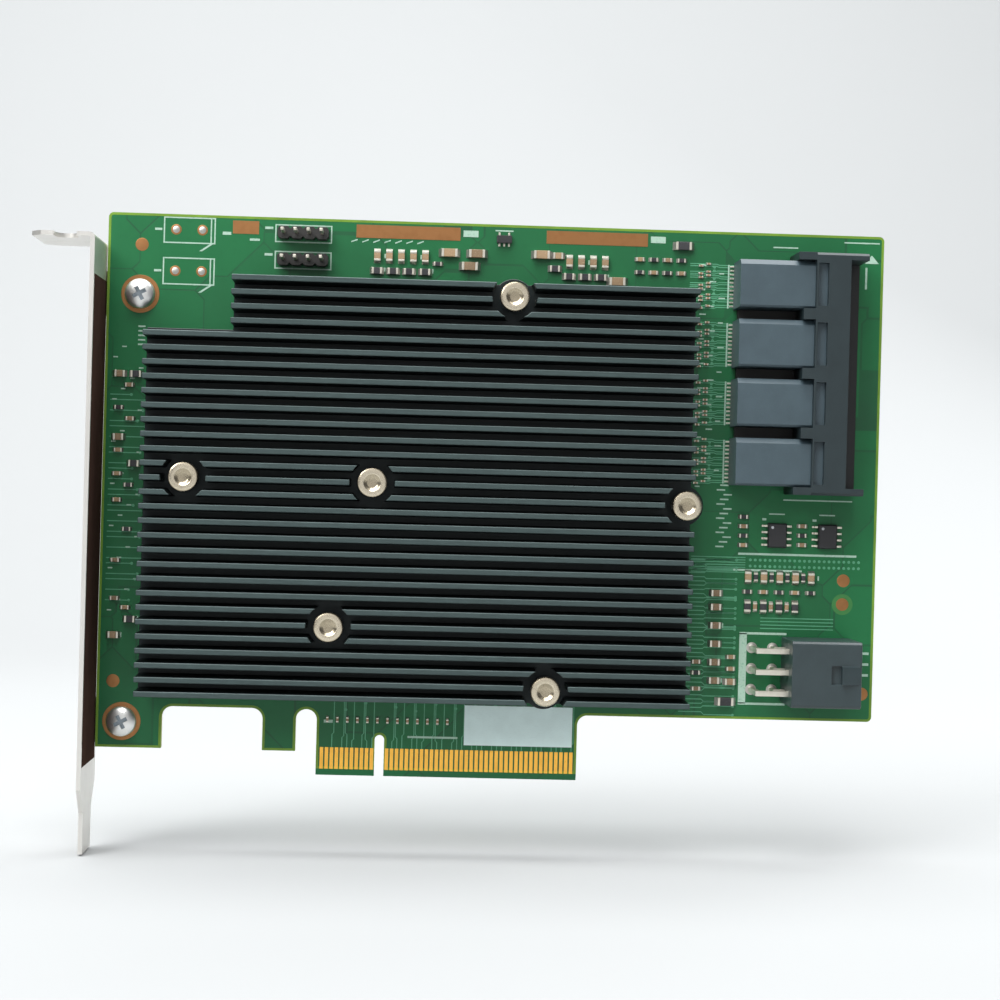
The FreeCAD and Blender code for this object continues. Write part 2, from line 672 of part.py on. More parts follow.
def port_shroud():
    """Moulded shroud: four open cavities, latch windows, rear ribs and a long floor in front."""
    top = level(SHROUD_HEIGHT)
    section = [
        (level(0), SHROUD_BOTTOM, 0),
        (top + SHROUD_EDGE_CHAMFER, SHROUD_BOTTOM, 0),
        (top, SHROUD_BOTTOM + SHROUD_EDGE_CHAMFER, 0),
        (top, SHROUD_TOP - SHROUD_EDGE_CHAMFER, 0),
        (top + SHROUD_EDGE_CHAMFER, SHROUD_TOP, 0),
        (level(0), SHROUD_TOP, 0),
    ]
    shroud = along_x(section, SHROUD_REAR, SHROUD_FRONT)
    floor = level(SHROUD_FLOOR)
    roof = level(SHROUD_FLOOR + PORT_CAVITY)
    half = PORT_WIDTH / 2
    cuts = [along_x(rectangle(roof, floor, z - half, z + half), SHROUD_REAR, SHROUD_FRONT) for z in PORTS]
    window_start = SHROUD_REAR + LATCH_WINDOW_SETBACK
    half = LATCH_WINDOW_WIDTH / 2
    for z in PORTS:
        window = rectangle(window_start, window_start + LATCH_WINDOW_LENGTH, z - half, z + half)
        cuts.append(raised(window, SHROUD_FLOOR + PORT_CAVITY, SHROUD_HEIGHT))
    porch_low = SHROUD_BOTTOM + SHROUD_END_WALL
    porch_high = SHROUD_TOP - SHROUD_END_WALL
    porch = rectangle(SHROUD_FRONT - PORCH_LENGTH, SHROUD_FRONT, porch_low, porch_high)
    cuts.append(raised(porch, SHROUD_FLOOR, SHROUD_HEIGHT))
    shroud = shroud.cut(Part.makeCompound(cuts))
    wall = (PORT_PITCH - BLOCK_WIDTH) / 2 - BLOCK_FIT
    ribs = [(z - PORT_PITCH / 2, wall, RIB_LENGTH) for z in PORTS[:-1]]
    added = [
        raised(rectangle(SHROUD_REAR - length, SHROUD_REAR, z - half, z + half), 0, SHROUD_HEIGHT)
        for z, half, length in ribs
    ]
    cheek = SHROUD_END_WALL + (PORT_WIDTH - BLOCK_WIDTH) / 2 - BLOCK_FIT
    for low in (SHROUD_BOTTOM, SHROUD_TOP - cheek):
        side = rectangle(SHROUD_REAR - CHEEK_LENGTH, SHROUD_REAR, low, low + cheek)
        added.append(raised(side, 0, SHROUD_HEIGHT))
    return shroud.multiFuse(added).removeSplitter()


def port_block(z):
    """Contact block of one port: a bevelled body behind, and a nose with two card slots in front."""
    high = z + BLOCK_WIDTH / 2
    low = z - BLOCK_WIDTH / 2
    top = level(BLOCK_HEIGHT)
    section = [
        (level(0), low, 0),
        (top + BLOCK_LOWER_CHAMFER, low, 0),
        (top, low + BLOCK_LOWER_CHAMFER, 0),
        (top, high - BLOCK_UPPER_CHAMFER, 0),
        (top + BLOCK_UPPER_CHAMFER, high, 0),
        (level(0), high, 0),
    ]
    body = along_x(section, SHROUD_REAR - BLOCK_LENGTH, SHROUD_REAR)
    half = PORT_WIDTH / 2 - BLOCK_FIT
    lower = level(SHROUD_FLOOR + BLOCK_FIT)
    upper = level(SHROUD_FLOOR + PORT_CAVITY - BLOCK_FIT)
    nose_front = SHROUD_REAR + NOSE_LENGTH
    nose = along_x(rectangle(upper, lower, z - half, z + half), SHROUD_REAR, nose_front)
    block = body.fuse(nose)
    middle = level(SHROUD_FLOOR + PORT_CAVITY / 2)
    half = CARD_SLOT_WIDTH / 2
    for offset in (-CARD_SLOT_PITCH / 2, CARD_SLOT_PITCH / 2):
        near = middle + offset - CARD_SLOT_HEIGHT / 2
        slot = rectangle(near, near + CARD_SLOT_HEIGHT, z - half, z + half)
        block = block.cut(along_x(slot, nose_front - CARD_SLOT_DEPTH, nose_front))
    return block.removeSplitter()


def power_row(row):
    """Height of one row of power contacts."""
    return POWER_FIRST_ROW + row * POWER_PITCH


def power_tail(row):
    """X of the tails of one row: the higher row bends down further back."""
    return POWER_REAR - POWER_TAIL_FROM_BACK - row * POWER_TAIL_PITCH


def power_housing():
    """Open-fronted housing with one keyed cell a contact and a latch ramp on its roof."""
    top = level(POWER_HEIGHT)
    section = [
        (level(0), POWER_BOTTOM, 0),
        (top + POWER_EDGE_CHAMFER, POWER_BOTTOM, 0),
        (top, POWER_BOTTOM + POWER_EDGE_CHAMFER, 0),
        (top, POWER_TOP - POWER_EDGE_CHAMFER, 0),
        (top + POWER_EDGE_CHAMFER, POWER_TOP, 0),
        (level(0), POWER_TOP, 0),
    ]
    housing = along_x(section, POWER_REAR, POWER_FRONT)
    half = POWER_CELL / 2
    cuts = []
    for i, (z, row) in enumerate(POWER_CELLS):
        y = level(power_row(row))
        chamfer = POWER_CELL_CHAMFER if i % 2 else 0
        cell = [
            (y - half, z - half, 0),
            (y + half, z - half, 0),
            (y + half, z + half - chamfer, 0),
            (y + half - chamfer, z + half, 0),
            (y - half + chamfer, z + half, 0),
            (y - half, z + half - chamfer, 0),
        ]
        if not chamfer:
            cell = rectangle(y - half, y + half, z - half, z + half)
        cuts.append(along_x(cell, POWER_FRONT - POWER_CELL_DEPTH, POWER_FRONT))
    middle = (POWER_BOTTOM + POWER_TOP) / 2
    low = middle - POWER_LATCH_WIDTH / 2
    high = middle + POWER_LATCH_WIDTH / 2
    ramp_start = POWER_FRONT - POWER_LATCH_LENGTH
    recess = rectangle(ramp_start - POWER_LATCH_RECESS, ramp_start, low, high)
    cuts.append(raised(recess, POWER_HEIGHT - POWER_RECESS_DEPTH, POWER_HEIGHT))
    ramp = [
        (ramp_start, top, 0),
        (POWER_FRONT, top, 0),
        (ramp_start, top - POWER_LATCH_HEIGHT, 0),
    ]
    housing = housing.cut(Part.makeCompound(cuts)).fuse(along_z(ramp, low, high))
    bores = [
        along_x(square_at(level(power_row(row)), z, POWER_PIN), POWER_REAR, POWER_FRONT - POWER_CELL_DEPTH)
        for z, row in POWER_CELLS
    ]
    return housing.cut(Part.makeCompound(bores)).removeSplitter()


def square_at(a, b, side):
    """Corner list of a square about a point."""
    half = side / 2
    return rectangle(a - half, a + half, b - half, b + half)


def power_pin(z, row):
    """Square contact bent down from its cell into the board."""
    half = POWER_PIN / 2
    x = power_tail(row)
    height = power_row(row)
    tail_end = level(BACK - POWER_TAIL_LENGTH)
    bend = [
        (x - half, tail_end, 0),
        (x - half, level(height + half), 0),
        (POWER_FRONT - POWER_PIN_RECESS, level(height + half), 0),
        (POWER_FRONT - POWER_PIN_RECESS, level(height - half), 0),
        (x + half, level(height - half), 0),
        (x + half, tail_end, 0),
    ]
    return along_z(bend, z - half, z + half)


def header_base(x, z):
    """Strip of joined blocks, nicked between the pins, around square pins."""
    half_pitch = HEADER_PITCH / 2
    half = HEADER_WIDTH / 2
    edge = []
    for dx in HEADER_OFFSETS:
        left = x + dx - half_pitch
        right = x + dx + half_pitch
        edge += [(left, half - HEADER_NICK), (left + HEADER_NICK, half), (right - HEADER_NICK, half)]
    edge.append((x + HEADER_OFFSETS[-1] + half_pitch, half - HEADER_NICK))
    lower = [(along, z - out, 0) for along, out in edge]
    upper = [(along, z + out, 0) for along, out in reversed(edge)]
    base = raised(lower + upper, 0, HEADER_BASE)
    bores = [square_bar(x + dx, z, HEADER_PIN, 0, HEADER_BASE) for dx in HEADER_OFFSETS]
    return base.cut(Part.makeCompound(bores))


def header_pins():
    """Square pins of both headers, through the bases and the board."""
    low = BACK - HEADER_TAIL_LENGTH
    pins = [
        square_bar(x + dx, z, HEADER_PIN, low, HEADER_PIN_HEIGHT)
        for x, z in HEADERS
        for dx in HEADER_OFFSETS
    ]
    return Part.makeCompound(pins)


def small_chip(x):
    """Moulded body with drafted sides, standing just clear of the board."""
    middle = (SMALL_CHIP_STANDOFF + SMALL_CHIP_HEIGHT) / 2
    sections = []
    for height, inset in (
        (SMALL_CHIP_STANDOFF, SMALL_CHIP_DRAFT),
        (middle, 0),
        (SMALL_CHIP_HEIGHT, SMALL_CHIP_DRAFT),
    ):
        half_x = SMALL_CHIP_WIDTH / 2 - inset
        half_z = SMALL_CHIP_LENGTH / 2 - inset
        outline = rectangle(x - half_x, x + half_x, SMALL_CHIP_Z - half_z, SMALL_CHIP_Z + half_z)
        face = profile(outline, in_xz)
        face.translate(Vector(0, level(height), 0))
        sections.append(face.OuterWire)
    return Part.makeLoft(sections, True, True)


def gull_lead(root, foot, reach, width, z):
    """Bent lead from a body's side at one height down to a foot on the board."""
    direction = math.copysign(1, foot - root)
    heel = foot - direction * reach
    thick = LEAD_THICKNESS
    middle = (SMALL_CHIP_STANDOFF + SMALL_CHIP_HEIGHT) / 2
    bend = [
        (root, level(middle - thick / 2), 0),
        (heel, level(middle - thick / 2), 0),
        (heel, level(0), 0),
        (foot, level(0), 0),
        (foot, level(thick), 0),
        (heel + direction * thick, level(thick), 0),
        (heel + direction * thick, level(middle + thick / 2), 0),
        (root, level(middle + thick / 2), 0),
    ]
    return along_z(bend, z - width / 2, z + width / 2)


def small_chip_leads():
    """Gull-wing leads along both sides of each small chip."""
    leads = []
    for inset in SMALL_CHIP_INSETS:
        x = RIGHT - inset
        for i in range(SMALL_CHIP_LEADS):
            z = SMALL_CHIP_Z + (i - (SMALL_CHIP_LEADS - 1) / 2) * LEAD_PITCH
            for side in (-1, 1):
                root = x + side * SMALL_CHIP_WIDTH / 2
                leads.append(gull_lead(root, root + side * LEAD_REACH, LEAD_FOOT, LEAD_WIDTH, z))
    return Part.makeCompound(leads)


def regulator():
    """Small moulded regulator and its flat leads."""
    x = LEFT + REGULATOR_FROM_LEFT
    z = TOP - REGULATOR_DROP
    half_x = REGULATOR_LENGTH / 2
    half_z = REGULATOR_WIDTH / 2
    body = raised(rectangle(x - half_x, x + half_x, z - half_z, z + half_z), 0, REGULATOR_HEIGHT)
    half = LEAD_WIDTH / 2
    reach = REGULATOR_LEAD_REACH
    leads = []
    for i in (-1, 0, 1):
        lead_x = x + i * REGULATOR_LEAD_PITCH
        below = rectangle(lead_x - half, lead_x + half, z - half_z - reach, z - half_z)
        leads.append(raised(below, 0, LEAD_THICKNESS))
        if i:
            above = rectangle(lead_x - half, lead_x + half, z + half_z, z + half_z + reach)
            leads.append(raised(above, 0, LEAD_THICKNESS))
    return body, Part.makeCompound(leads)


def passive_places():
    """Centres of the chip capacitors and resistors, as (x, z, upright)."""
    close = PASSIVE_WIDTH + PASSIVE_CLOSE_GAP
    open_row = PASSIVE_LENGTH + PASSIVE_CLOSE_GAP
    tall_column = PASSIVE_WIDTH + PASSIVE_COLUMN_GAP
    caps_row = SINK_TOP + CAPACITORS_ABOVE_SINK
    res_row = SINK_TOP + RESISTORS_ABOVE_SINK
    power_x = POWER_REAR - POWER_GROUP_BACK
    left_x = LEFT + LEFT_GROUP_INSET
    second_x = left_x + open_row
    power_caps = POWER_TOP + POWER_GROUP_ROWS * PASSIVE_ROW_STEP
    power_res = POWER_TOP + PASSIVE_ROW_STEP
    capacitors = [(power_x + i * open_row, power_caps, True) for i in range(POWER_CAPACITOR_COUNT)]
    capacitors += [
        (SINK_RIGHT + COLUMN_PAST_SINK, POWER_BOTTOM + COLUMN_RISE + i * tall_column, False)
        for i in range(COLUMN_COUNT)
    ]
    resistors = [(power_x + i * open_row, power_res, True) for i in range(POWER_RESISTOR_COUNT)]
    for inset, count in zip(UPPER_GROUP_INSETS, UPPER_CAPACITOR_COUNTS):
        capacitors += [(LEFT + inset + i * close, caps_row, True) for i in range(count)]
    for inset, count in zip(UPPER_GROUP_INSETS, UPPER_RESISTOR_COUNTS):
        resistors += [(LEFT + inset + i * open_row, res_row, False) for i in range(count)]
    capacitors += [(left_x, SINK_TOP - drop, False) for drop in LEFT_CAPACITOR_DROPS]
    resistors += [(second_x, SINK_TOP - drop, False) for drop in LEFT_RESISTOR_DROPS]
    return capacitors, resistors


def passive(x, z, upright):
    """One chip part: its body and the two plated ends."""
    half_length = PASSIVE_LENGTH / 2
    half_width = PASSIVE_WIDTH / 2
    inner = half_length - PASSIVE_END
    spans = ((-half_length, -inner), (-inner, inner), (inner, half_length))
    pieces = []
    for start, end in spans:
        if upright:
            corners = rectangle(x - half_width, x + half_width, z + start, z + end)
        else:
            corners = rectangle(x + start, x + end, z - half_width, z + half_width)
        pieces.append(raised(corners, 0, PASSIVE_HEIGHT))
    return pieces[1], (pieces[0], pieces[2])


def passives():
    """Capacitor bodies, resistor bodies and all plated ends."""
    groups = []
    ends = []
    for places in passive_places():
        bodies = []
        for x, z, upright in places:
            body, pair = passive(x, z, upright)
            bodies.append(body)
            ends.extend(pair)
        groups.append(Part.makeCompound(bodies))
    return groups[0], groups[1], Part.makeCompound(ends)


def label():
    """Bare paper label above the contacts at the tongue's long end."""
    right = TONGUE_RIGHT - LABEL_END_GAP
    low = CONTACT_TOP + LABEL_ABOVE_CONTACTS
    corners = rectangle(right - LABEL_LENGTH, right, low, low + LABEL_HEIGHT)
    return raised(corners, 0, LABEL_THICKNESS)


regulator_body, regulator_leads = regulator()
capacitor_bodies, resistor_bodies, passive_ends = passives()

nodes = {
    "circuit_board": circuit_board(),
    "edge_contacts_front": edge_contacts(0, COPPER_THICKNESS),
    "edge_contacts_back": edge_contacts(BACK - COPPER_THICKNESS, BACK),
    "copper_pads": copper_pads(),
    "bracket": bracket(),
    "bracket_screws": Part.makeCompound([bracket_screw(x, z) for x, z in SCREWS]),
    "heat_sink": heat_sink(),
    "push_pins": Part.makeCompound([push_pin(x, z) for x, z in PINS]),
    "pin_springs": Part.makeCompound([pin_spring(x, z) for x, z in PINS]),
    "upper_controller_chip": chip_package(UPPER_CONTROLLER, CONTROLLER_SIZE),
    "lower_controller_chip": chip_package(LOWER_CONTROLLER, CONTROLLER_SIZE),
    "switch_chip": chip_package(SWITCH, SWITCH_SIZE),
    "upper_controller_pad": thermal_pad(UPPER_CONTROLLER, CONTROLLER_SIZE),
    "lower_controller_pad": thermal_pad(LOWER_CONTROLLER, CONTROLLER_SIZE),
    "switch_pad": thermal_pad(SWITCH, SWITCH_SIZE),
    "port_shroud": port_shroud(),
    "power_housing": power_housing(),
    "power_pins": Part.makeCompound([power_pin(z, row) for z, row in POWER_CELLS]),
    "header_pins": header_pins(),
    "small_chip_leads": small_chip_leads(),
    "regulator_body": regulator_body,
    "regulator_leads": regulator_leads,
    "capacitor_bodies": capacitor_bodies,
    "resistor_bodies": resistor_bodies,
    "passive_ends": passive_ends,
    "label": label(),
}
for number, z in enumerate(PORTS, 1):
    nodes["port_block_%d" % number] = port_block(z)
for number, (x, z) in enumerate(HEADERS, 1):
    nodes["header_base_%d" % number] = header_base(x, z)
for number, inset in enumerate(SMALL_CHIP_INSETS, 1):
    nodes["small_chip_%d" % number] = small_chip(RIGHT - inset)

for name, shape in nodes.items():
    shape.exportStep("parts/%s.step" % name)
    print(name, len(shape.Solids), shape.isValid(), round(shape.Volume, 2))
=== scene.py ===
"""Looks of a plug-in adapter card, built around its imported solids."""
import logging
import math
from dataclasses import dataclass, field
from enum import Enum
from functools import cache
from typing import Iterable, Sequence, Union

import bmesh
import bpy
from mathutils import Euler, Matrix, Vector


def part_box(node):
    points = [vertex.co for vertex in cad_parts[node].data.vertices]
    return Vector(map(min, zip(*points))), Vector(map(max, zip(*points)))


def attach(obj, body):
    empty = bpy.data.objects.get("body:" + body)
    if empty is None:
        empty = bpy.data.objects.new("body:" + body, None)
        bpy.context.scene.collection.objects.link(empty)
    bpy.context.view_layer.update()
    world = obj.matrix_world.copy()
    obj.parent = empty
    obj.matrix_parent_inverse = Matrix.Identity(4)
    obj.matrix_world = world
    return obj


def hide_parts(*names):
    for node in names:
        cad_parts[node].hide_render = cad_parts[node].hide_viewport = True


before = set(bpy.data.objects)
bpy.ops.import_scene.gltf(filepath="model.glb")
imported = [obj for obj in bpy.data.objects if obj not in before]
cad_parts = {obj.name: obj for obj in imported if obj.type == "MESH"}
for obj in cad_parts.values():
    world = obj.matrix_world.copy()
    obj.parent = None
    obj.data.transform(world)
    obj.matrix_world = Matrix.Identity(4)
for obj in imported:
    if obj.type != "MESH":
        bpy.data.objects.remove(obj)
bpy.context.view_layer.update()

log = logging.getLogger("card")

MM = 0.001
BODY = "root"
IMAGE_PIXELS = 1000
MERGE_DISTANCE = 1e-7
FLAT_ANGLE = math.radians(0.5)
SMOOTH_ANGLE = math.radians(40)
FULL_TURN = 2 * math.pi
WIRE_FLATS = 10
INK_HEIGHT = 0.035
INK_LINE = 0.26
TRACE_HEIGHT = 0.03
PAD_HEIGHT = 0.04
FIN_END_INSET = 38.65
COPPER_STRIP_REACH = 2.0
TONGUE_NOTCH_END = -10.0
CONTROLLERS = ("upper_controller", "lower_controller", "switch")

Colour = tuple[float, float, float]
Triple = tuple[float, float, float]
Point = tuple[float, float]
Span = tuple[float, float]
Element = Union[bmesh.types.BMVert, bmesh.types.BMEdge, bmesh.types.BMFace]


class Side(Enum):
    """Face of the board that a detail lies on."""

    COMPONENT = 1
    SOLDER = -1


class Run(Enum):
    """Direction that a trace or a small part runs in."""

    ALONG = "x"
    UPRIGHT = "z"


class PartKind(Enum):
    """Sort of a small two-ended part."""

    CAPACITOR = "capacitor"
    RESISTOR = "resistor"


@cache
def face_plane() -> float:
    """Y of the component face, in metres."""
    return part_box("circuit_board")[0].y


@dataclass(frozen=True)
class Box:
    """Where a solid stands, in card millimetres.

    Heights are measured from the component face towards its own side, so the solder face is at minus the
    board's thickness.
    """

    left: float
    right: float
    low: float
    high: float
    bottom: float
    top: float

    @property
    def x(self) -> float:
        """Middle along the card."""
        return (self.left + self.right) / 2

    @property
    def z(self) -> float:
        """Middle up the card."""
        return (self.bottom + self.top) / 2

    @property
    def height(self) -> float:
        """Middle between its two heights."""
        return (self.low + self.high) / 2

    @property
    def width(self) -> float:
        """Size along the card."""
        return self.right - self.left

    @property
    def rise(self) -> float:
        """Size up the card."""
        return self.top - self.bottom

    @classmethod
    def around(cls, points: Iterable[Vector]) -> "Box":
        """Box of points in metres.

        Args:
            points: Places in the card's frame.

        Returns:
            Their box in millimetres and heights.
        """
        places = list(points)
        xs = [p.x / MM for p in places]
        hs = [(face_plane() - p.y) / MM for p in places]
        zs = [p.z / MM for p in places]
        return cls(min(xs), max(xs), min(hs), max(hs), min(zs), max(zs))


@cache
def node_box(node: str) -> Box:
    """Box of a whole CAD node, in millimetres."""
    return Box.around(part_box(node))


def port_boxes() -> list[Box]:
    """Boxes of the four contact blocks, from the top one down."""
    return [node_box(f"port_block_{number}") for number in range(1, 5)]


def chip_boxes() -> list[Box]:
    """Boxes of the two small leaded chips, from the left."""
    return [node_box(f"small_chip_{number}") for number in (1, 2)]


def fin_end() -> float:
    """Right end of the heat sink's fins, which its pin pedestals pass."""
    return node_box("circuit_board").right - FIN_END_INSET


def merged_copy(node: str) -> bmesh.types.BMesh:
    """Copy of a node's mesh with its loose triangles joined.

    Args:
        node: Name of the node.

    Returns:
        A new bmesh.
    """
    copy = bmesh.new()
    copy.from_mesh(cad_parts[node].data)
    bmesh.ops.remove_doubles(copy, verts=copy.verts, dist=MERGE_DISTANCE)
    return copy


@cache
def solids(node: str) -> list[Box]:
    """Boxes of the separate solids in a node.

    Args:
        node: Name of the node.

    Returns:
        One box a solid, in order along the card and then up it.
    """
    copy = merged_copy(node)
    waiting = set(copy.verts)
    boxes = []
    while waiting:
        island = set()
        edge = [waiting.pop()]
        while edge:
            vert = edge.pop()
            island.add(vert)
            near = {e.other_vert(vert) for e in vert.link_edges}
            edge.extend(near & waiting)
            waiting -= near
        boxes.append(Box.around(v.co for v in island))
    copy.free()
    return sorted(boxes, key=lambda b: (round(b.x, 2), round(b.z, 2)))


def copper_strips() -> list[Box]:
    """Boxes of the bare copper strips along the top edge, from the left."""
    limit = node_box("circuit_board").top - COPPER_STRIP_REACH
    return [box for box in solids("copper_pads") if box.top > limit]


def off(side: Side, rise: float) -> float:
    """Height of a point that stands off one face of the board."""
    return rise if side is Side.COMPONENT else node_box("circuit_board").low - rise


def slab(side: Side, x: Span, z: Span, rise: float) -> Box:
    """Box that lies on one face, from its ends along and up the card and its thickness."""
    return Box(*x, *sorted((off(side, 0), off(side, rise))), *z)


def spaced(middle: float, count: int, pitch: float) -> list[float]:
    """Evenly spaced places about a middle."""
    return [middle + (i - (count - 1) / 2) * pitch for i in range(count)]


def steps(start: float, end: float, step: float) -> list[float]:
    """Evenly spaced places from a start up to an end."""
    return [start + i * step for i in range(int((end - start) / step) + 1)]


def picked(made: Iterable[Element], kind: type) -> list[Element]:
    """Elements of one kind among those that an operator made."""
    return [element for element in made if isinstance(element, kind)]


class Shape:
    """A mesh in the making, placed in card millimetres and heights."""

    def __init__(self, bm: bmesh.types.BMesh | None = None) -> None:
        """Starts from a mesh, or with nothing."""
        self.bm = bmesh.new() if bm is None else bm

    @staticmethod
    def at(x: float, height: float, z: float) -> Vector:
        """Point in metres from millimetres and a height."""
        return Vector((x * MM, face_plane() - height * MM, z * MM))

    def block(self, box: Box, edge: float = 0.0, segments: int = 2) -> list[bmesh.types.BMVert]:
        """Adds a block.

        Args:
            box: Where it stands.
            edge: Width of its rounded edges.
            segments: Steps in each rounded edge.

        Returns:
            The block's vertices before its edges are rounded.
        """
        size = (box.width * MM, (box.high - box.low) * MM, box.rise * MM)
        place = Matrix.Translation(self.at(box.x, box.height, box.z)) @ Matrix.Diagonal((*size, 1.0))
        verts = bmesh.ops.create_cube(self.bm, size=1.0, matrix=place)["verts"]
        if edge:
            self.round_edges({e for v in verts for e in v.link_edges}, edge, segments)
        return verts

    def round_edges(self, edges: Iterable[bmesh.types.BMEdge], width: float, segments: int = 2) -> None:
        """Rounds edges to a width, in a number of steps."""
        bmesh.ops.bevel(
            self.bm, geom=list(edges), offset=width * MM, offset_type="OFFSET", segments=segments,
            profile=0.5, affect="EDGES", clamp_overlap=True, material=-1,
        )

    def thicken(self, faces: Sequence[bmesh.types.BMFace], height: float) -> None:
        """Extrudes faces away from the board."""
        grown = bmesh.ops.extrude_face_region(self.bm, geom=faces)["geom"]
        bmesh.ops.translate(self.bm, verts=picked(grown, bmesh.types.BMVert), vec=(0, -height * MM, 0))

    def plate(self, outline: Iterable[Point], low: float, high: float) -> None:
        """Adds a flat plate between two heights, from its corners along and up the card."""
        base = self.bm.faces.new([self.bm.verts.new(self.at(x, low, z)) for x, z in outline])
        self.thicken([base], high - low)

    def lathe(self, x: float, z: float, outline: Iterable[Point], flats: int) -> None:
        """Adds a turned form on an axis square to the board.

        Args:
            x: Place of the axis along the card.
            z: Place of the axis up the card.
            outline: Radius and height of each point of the section.
            flats: Flats in a full turn.
        """
        verts = [self.bm.verts.new(self.at(x + radius, height, z)) for radius, height in outline]
        edges = [self.bm.edges.new(pair) for pair in zip(verts, verts[1:])]
        bmesh.ops.spin(
            self.bm, geom=verts + edges, cent=self.at(x, 0, z), axis=(0, 1, 0), dvec=(0, 0, 0),
            angle=FULL_TURN, steps=flats, use_merge=True, use_normal_flip=False, use_duplicate=False,
        )

    def disc(self, place: Point, radius: float, edge: float, heights: Span, flats: int) -> None:
        """Adds a flat disc with a sloping rim, between the heights of its foot and of its face."""
        low, high = heights
        self.lathe(*place, [(0, high), (radius - edge, high), (radius, low)], flats)

    def coil(self, box: Box, wire: float, turns: float, flats: int) -> None:
        """Adds a coil of round wire.

        Args:
            box: Outer size of the coil.
            wire: Diameter of the wire.
            turns: Number of turns.
            flats: Steps in one turn.
        """
        start = self.at(box.right - wire / 2, box.low + wire / 2, box.z)
        ring = bmesh.ops.create_circle(
            self.bm, cap_ends=False, radius=wire / 2 * MM, segments=WIRE_FLATS,
            matrix=Matrix.Translation(start),
        )["verts"]
        edges = list({e for v in ring for e in v.link_edges})
        count = round(turns * flats)
        rise = (box.high - box.low - wire) / count
        end = bmesh.ops.spin(
            self.bm, geom=ring + edges, cent=self.at(box.x, 0, box.z), axis=(0, 1, 0),
            dvec=(0, -rise * MM, 0), angle=turns * FULL_TURN, steps=count,
            use_merge=False, use_normal_flip=False, use_duplicate=False,
        )["geom_last"]
        for loop in (edges, picked(end, bmesh.types.BMEdge)):
            bmesh.ops.contextual_create(self.bm, geom=loop)

    def ribbon(self, path: Sequence[Point], width: float, low: float, high: float, run: Run) -> None:
        """Adds a flat strip that follows a path on the board.

        Args:
            path: Points along and up the card.
            width: Width across the run.
            low: Height of its underside.
            high: Height of its face.
            run: Direction that the strip mostly runs in.
        """
        half = width / 2
        across = (0.0, half) if run is Run.ALONG else (half, 0.0)
        first = path[0]
        ends = [(first[0] + s * across[0], first[1] + s * across[1]) for s in (-1, 1)]
        verts = [self.bm.verts.new(self.at(x, low, z)) for x, z in ends]
        edge = self.bm.edges.new(verts)
        made = []
        for last, point in zip(path, path[1:]):
            grown = bmesh.ops.extrude_edge_only(self.bm, edges=[edge])["geom"]
            edge = picked(grown, bmesh.types.BMEdge)[0]
            made += picked(grown, bmesh.types.BMFace)
            step = ((point[0] - last[0]) * MM, 0, (point[1] - last[1]) * MM)
            bmesh.ops.translate(self.bm, verts=picked(grown, bmesh.types.BMVert), vec=step)
        self.thicken(made, high - low)

    def stamp(self, part: "Shape", places: Iterable[Triple]) -> None:
        """Adds copies of a small shape that was made about the origin.

        Args:
            part: The small shape, which is used up.
            places: Distance along the card, height and distance up the card of each copy.
        """
        mesh = part.close()
        origin = self.at(0, 0, 0)
        for place in places:
            copy = mesh.copy()
            copy.transform(Matrix.Translation(self.at(*place) - origin))
            self.bm.from_mesh(copy)
            bpy.data.meshes.remove(copy)
        bpy.data.meshes.remove(mesh)

    def wedge(self, box: Box, out: Point, side: Side) -> None:
        """Adds a block that slopes down to the board on one side.

        Args:
            box: Where it stands.
            out: Direction of its thin edge along and up the card.
            side: Face of the board that it stands on.
        """
        verts = self.block(box)
        middle = self.at(box.x, box.height, box.z)
        foot = face_plane() - off(side, PAD_HEIGHT) * MM
        for vert in verts:
            away = (vert.co.x - middle.x) * out[0] + (vert.co.z - middle.z) * out[1]
            if away > 0 and (middle.y - vert.co.y) * side.value > 0:
                vert.co.y = foot

    def frame_lines(self, box: Box, width: float) -> None:
        """Adds the four lines of a rectangle.

        Args:
            box: Outer edge of the rectangle, and the heights of its lines.
            width: Width of the lines.
        """
        for bottom, top in ((box.bottom, box.bottom + width), (box.top - width, box.top)):
            self.block(Box(box.left, box.right, box.low, box.high, bottom, top))
        for left, right in ((box.left, box.left + width), (box.right - width, box.right)):
            self.block(Box(left, right, box.low, box.high, box.bottom + width, box.top - width))

    @classmethod
    def softened(cls, node: str, edge: float, segments: int = 2, sharper_than: float = 30.0) -> "Shape":
        """Copy of a CAD node with its sharp edges rounded.

        Args:
            node: Name of the node.
            edge: Width of the rounding.
            segments: Steps in it.
            sharper_than: Angle in degrees from which an edge counts as sharp.

        Returns:
            The new shape.
        """
        bm = merged_copy(node)
        bmesh.ops.dissolve_limit(bm, angle_limit=FLAT_ANGLE, verts=bm.verts, edges=bm.edges)
        limit = math.radians(sharper_than)
        sharp = [e for e in bm.edges if len(e.link_faces) == 2 and e.calc_face_angle() > limit]
        shape = cls(bm)
        shape.round_edges(sharp, edge, segments)
        return shape

    def close(self) -> bpy.types.Mesh:
        """Joins what touches and turns the faces outwards.

        Returns:
            The mesh, which ends this shape.
        """
        bmesh.ops.remove_doubles(self.bm, verts=self.bm.verts, dist=MERGE_DISTANCE)
        bmesh.ops.recalc_face_normals(self.bm, faces=self.bm.faces)
        mesh = bpy.data.meshes.new("shape")
        self.bm.to_mesh(mesh)
        self.bm.free()
        return mesh


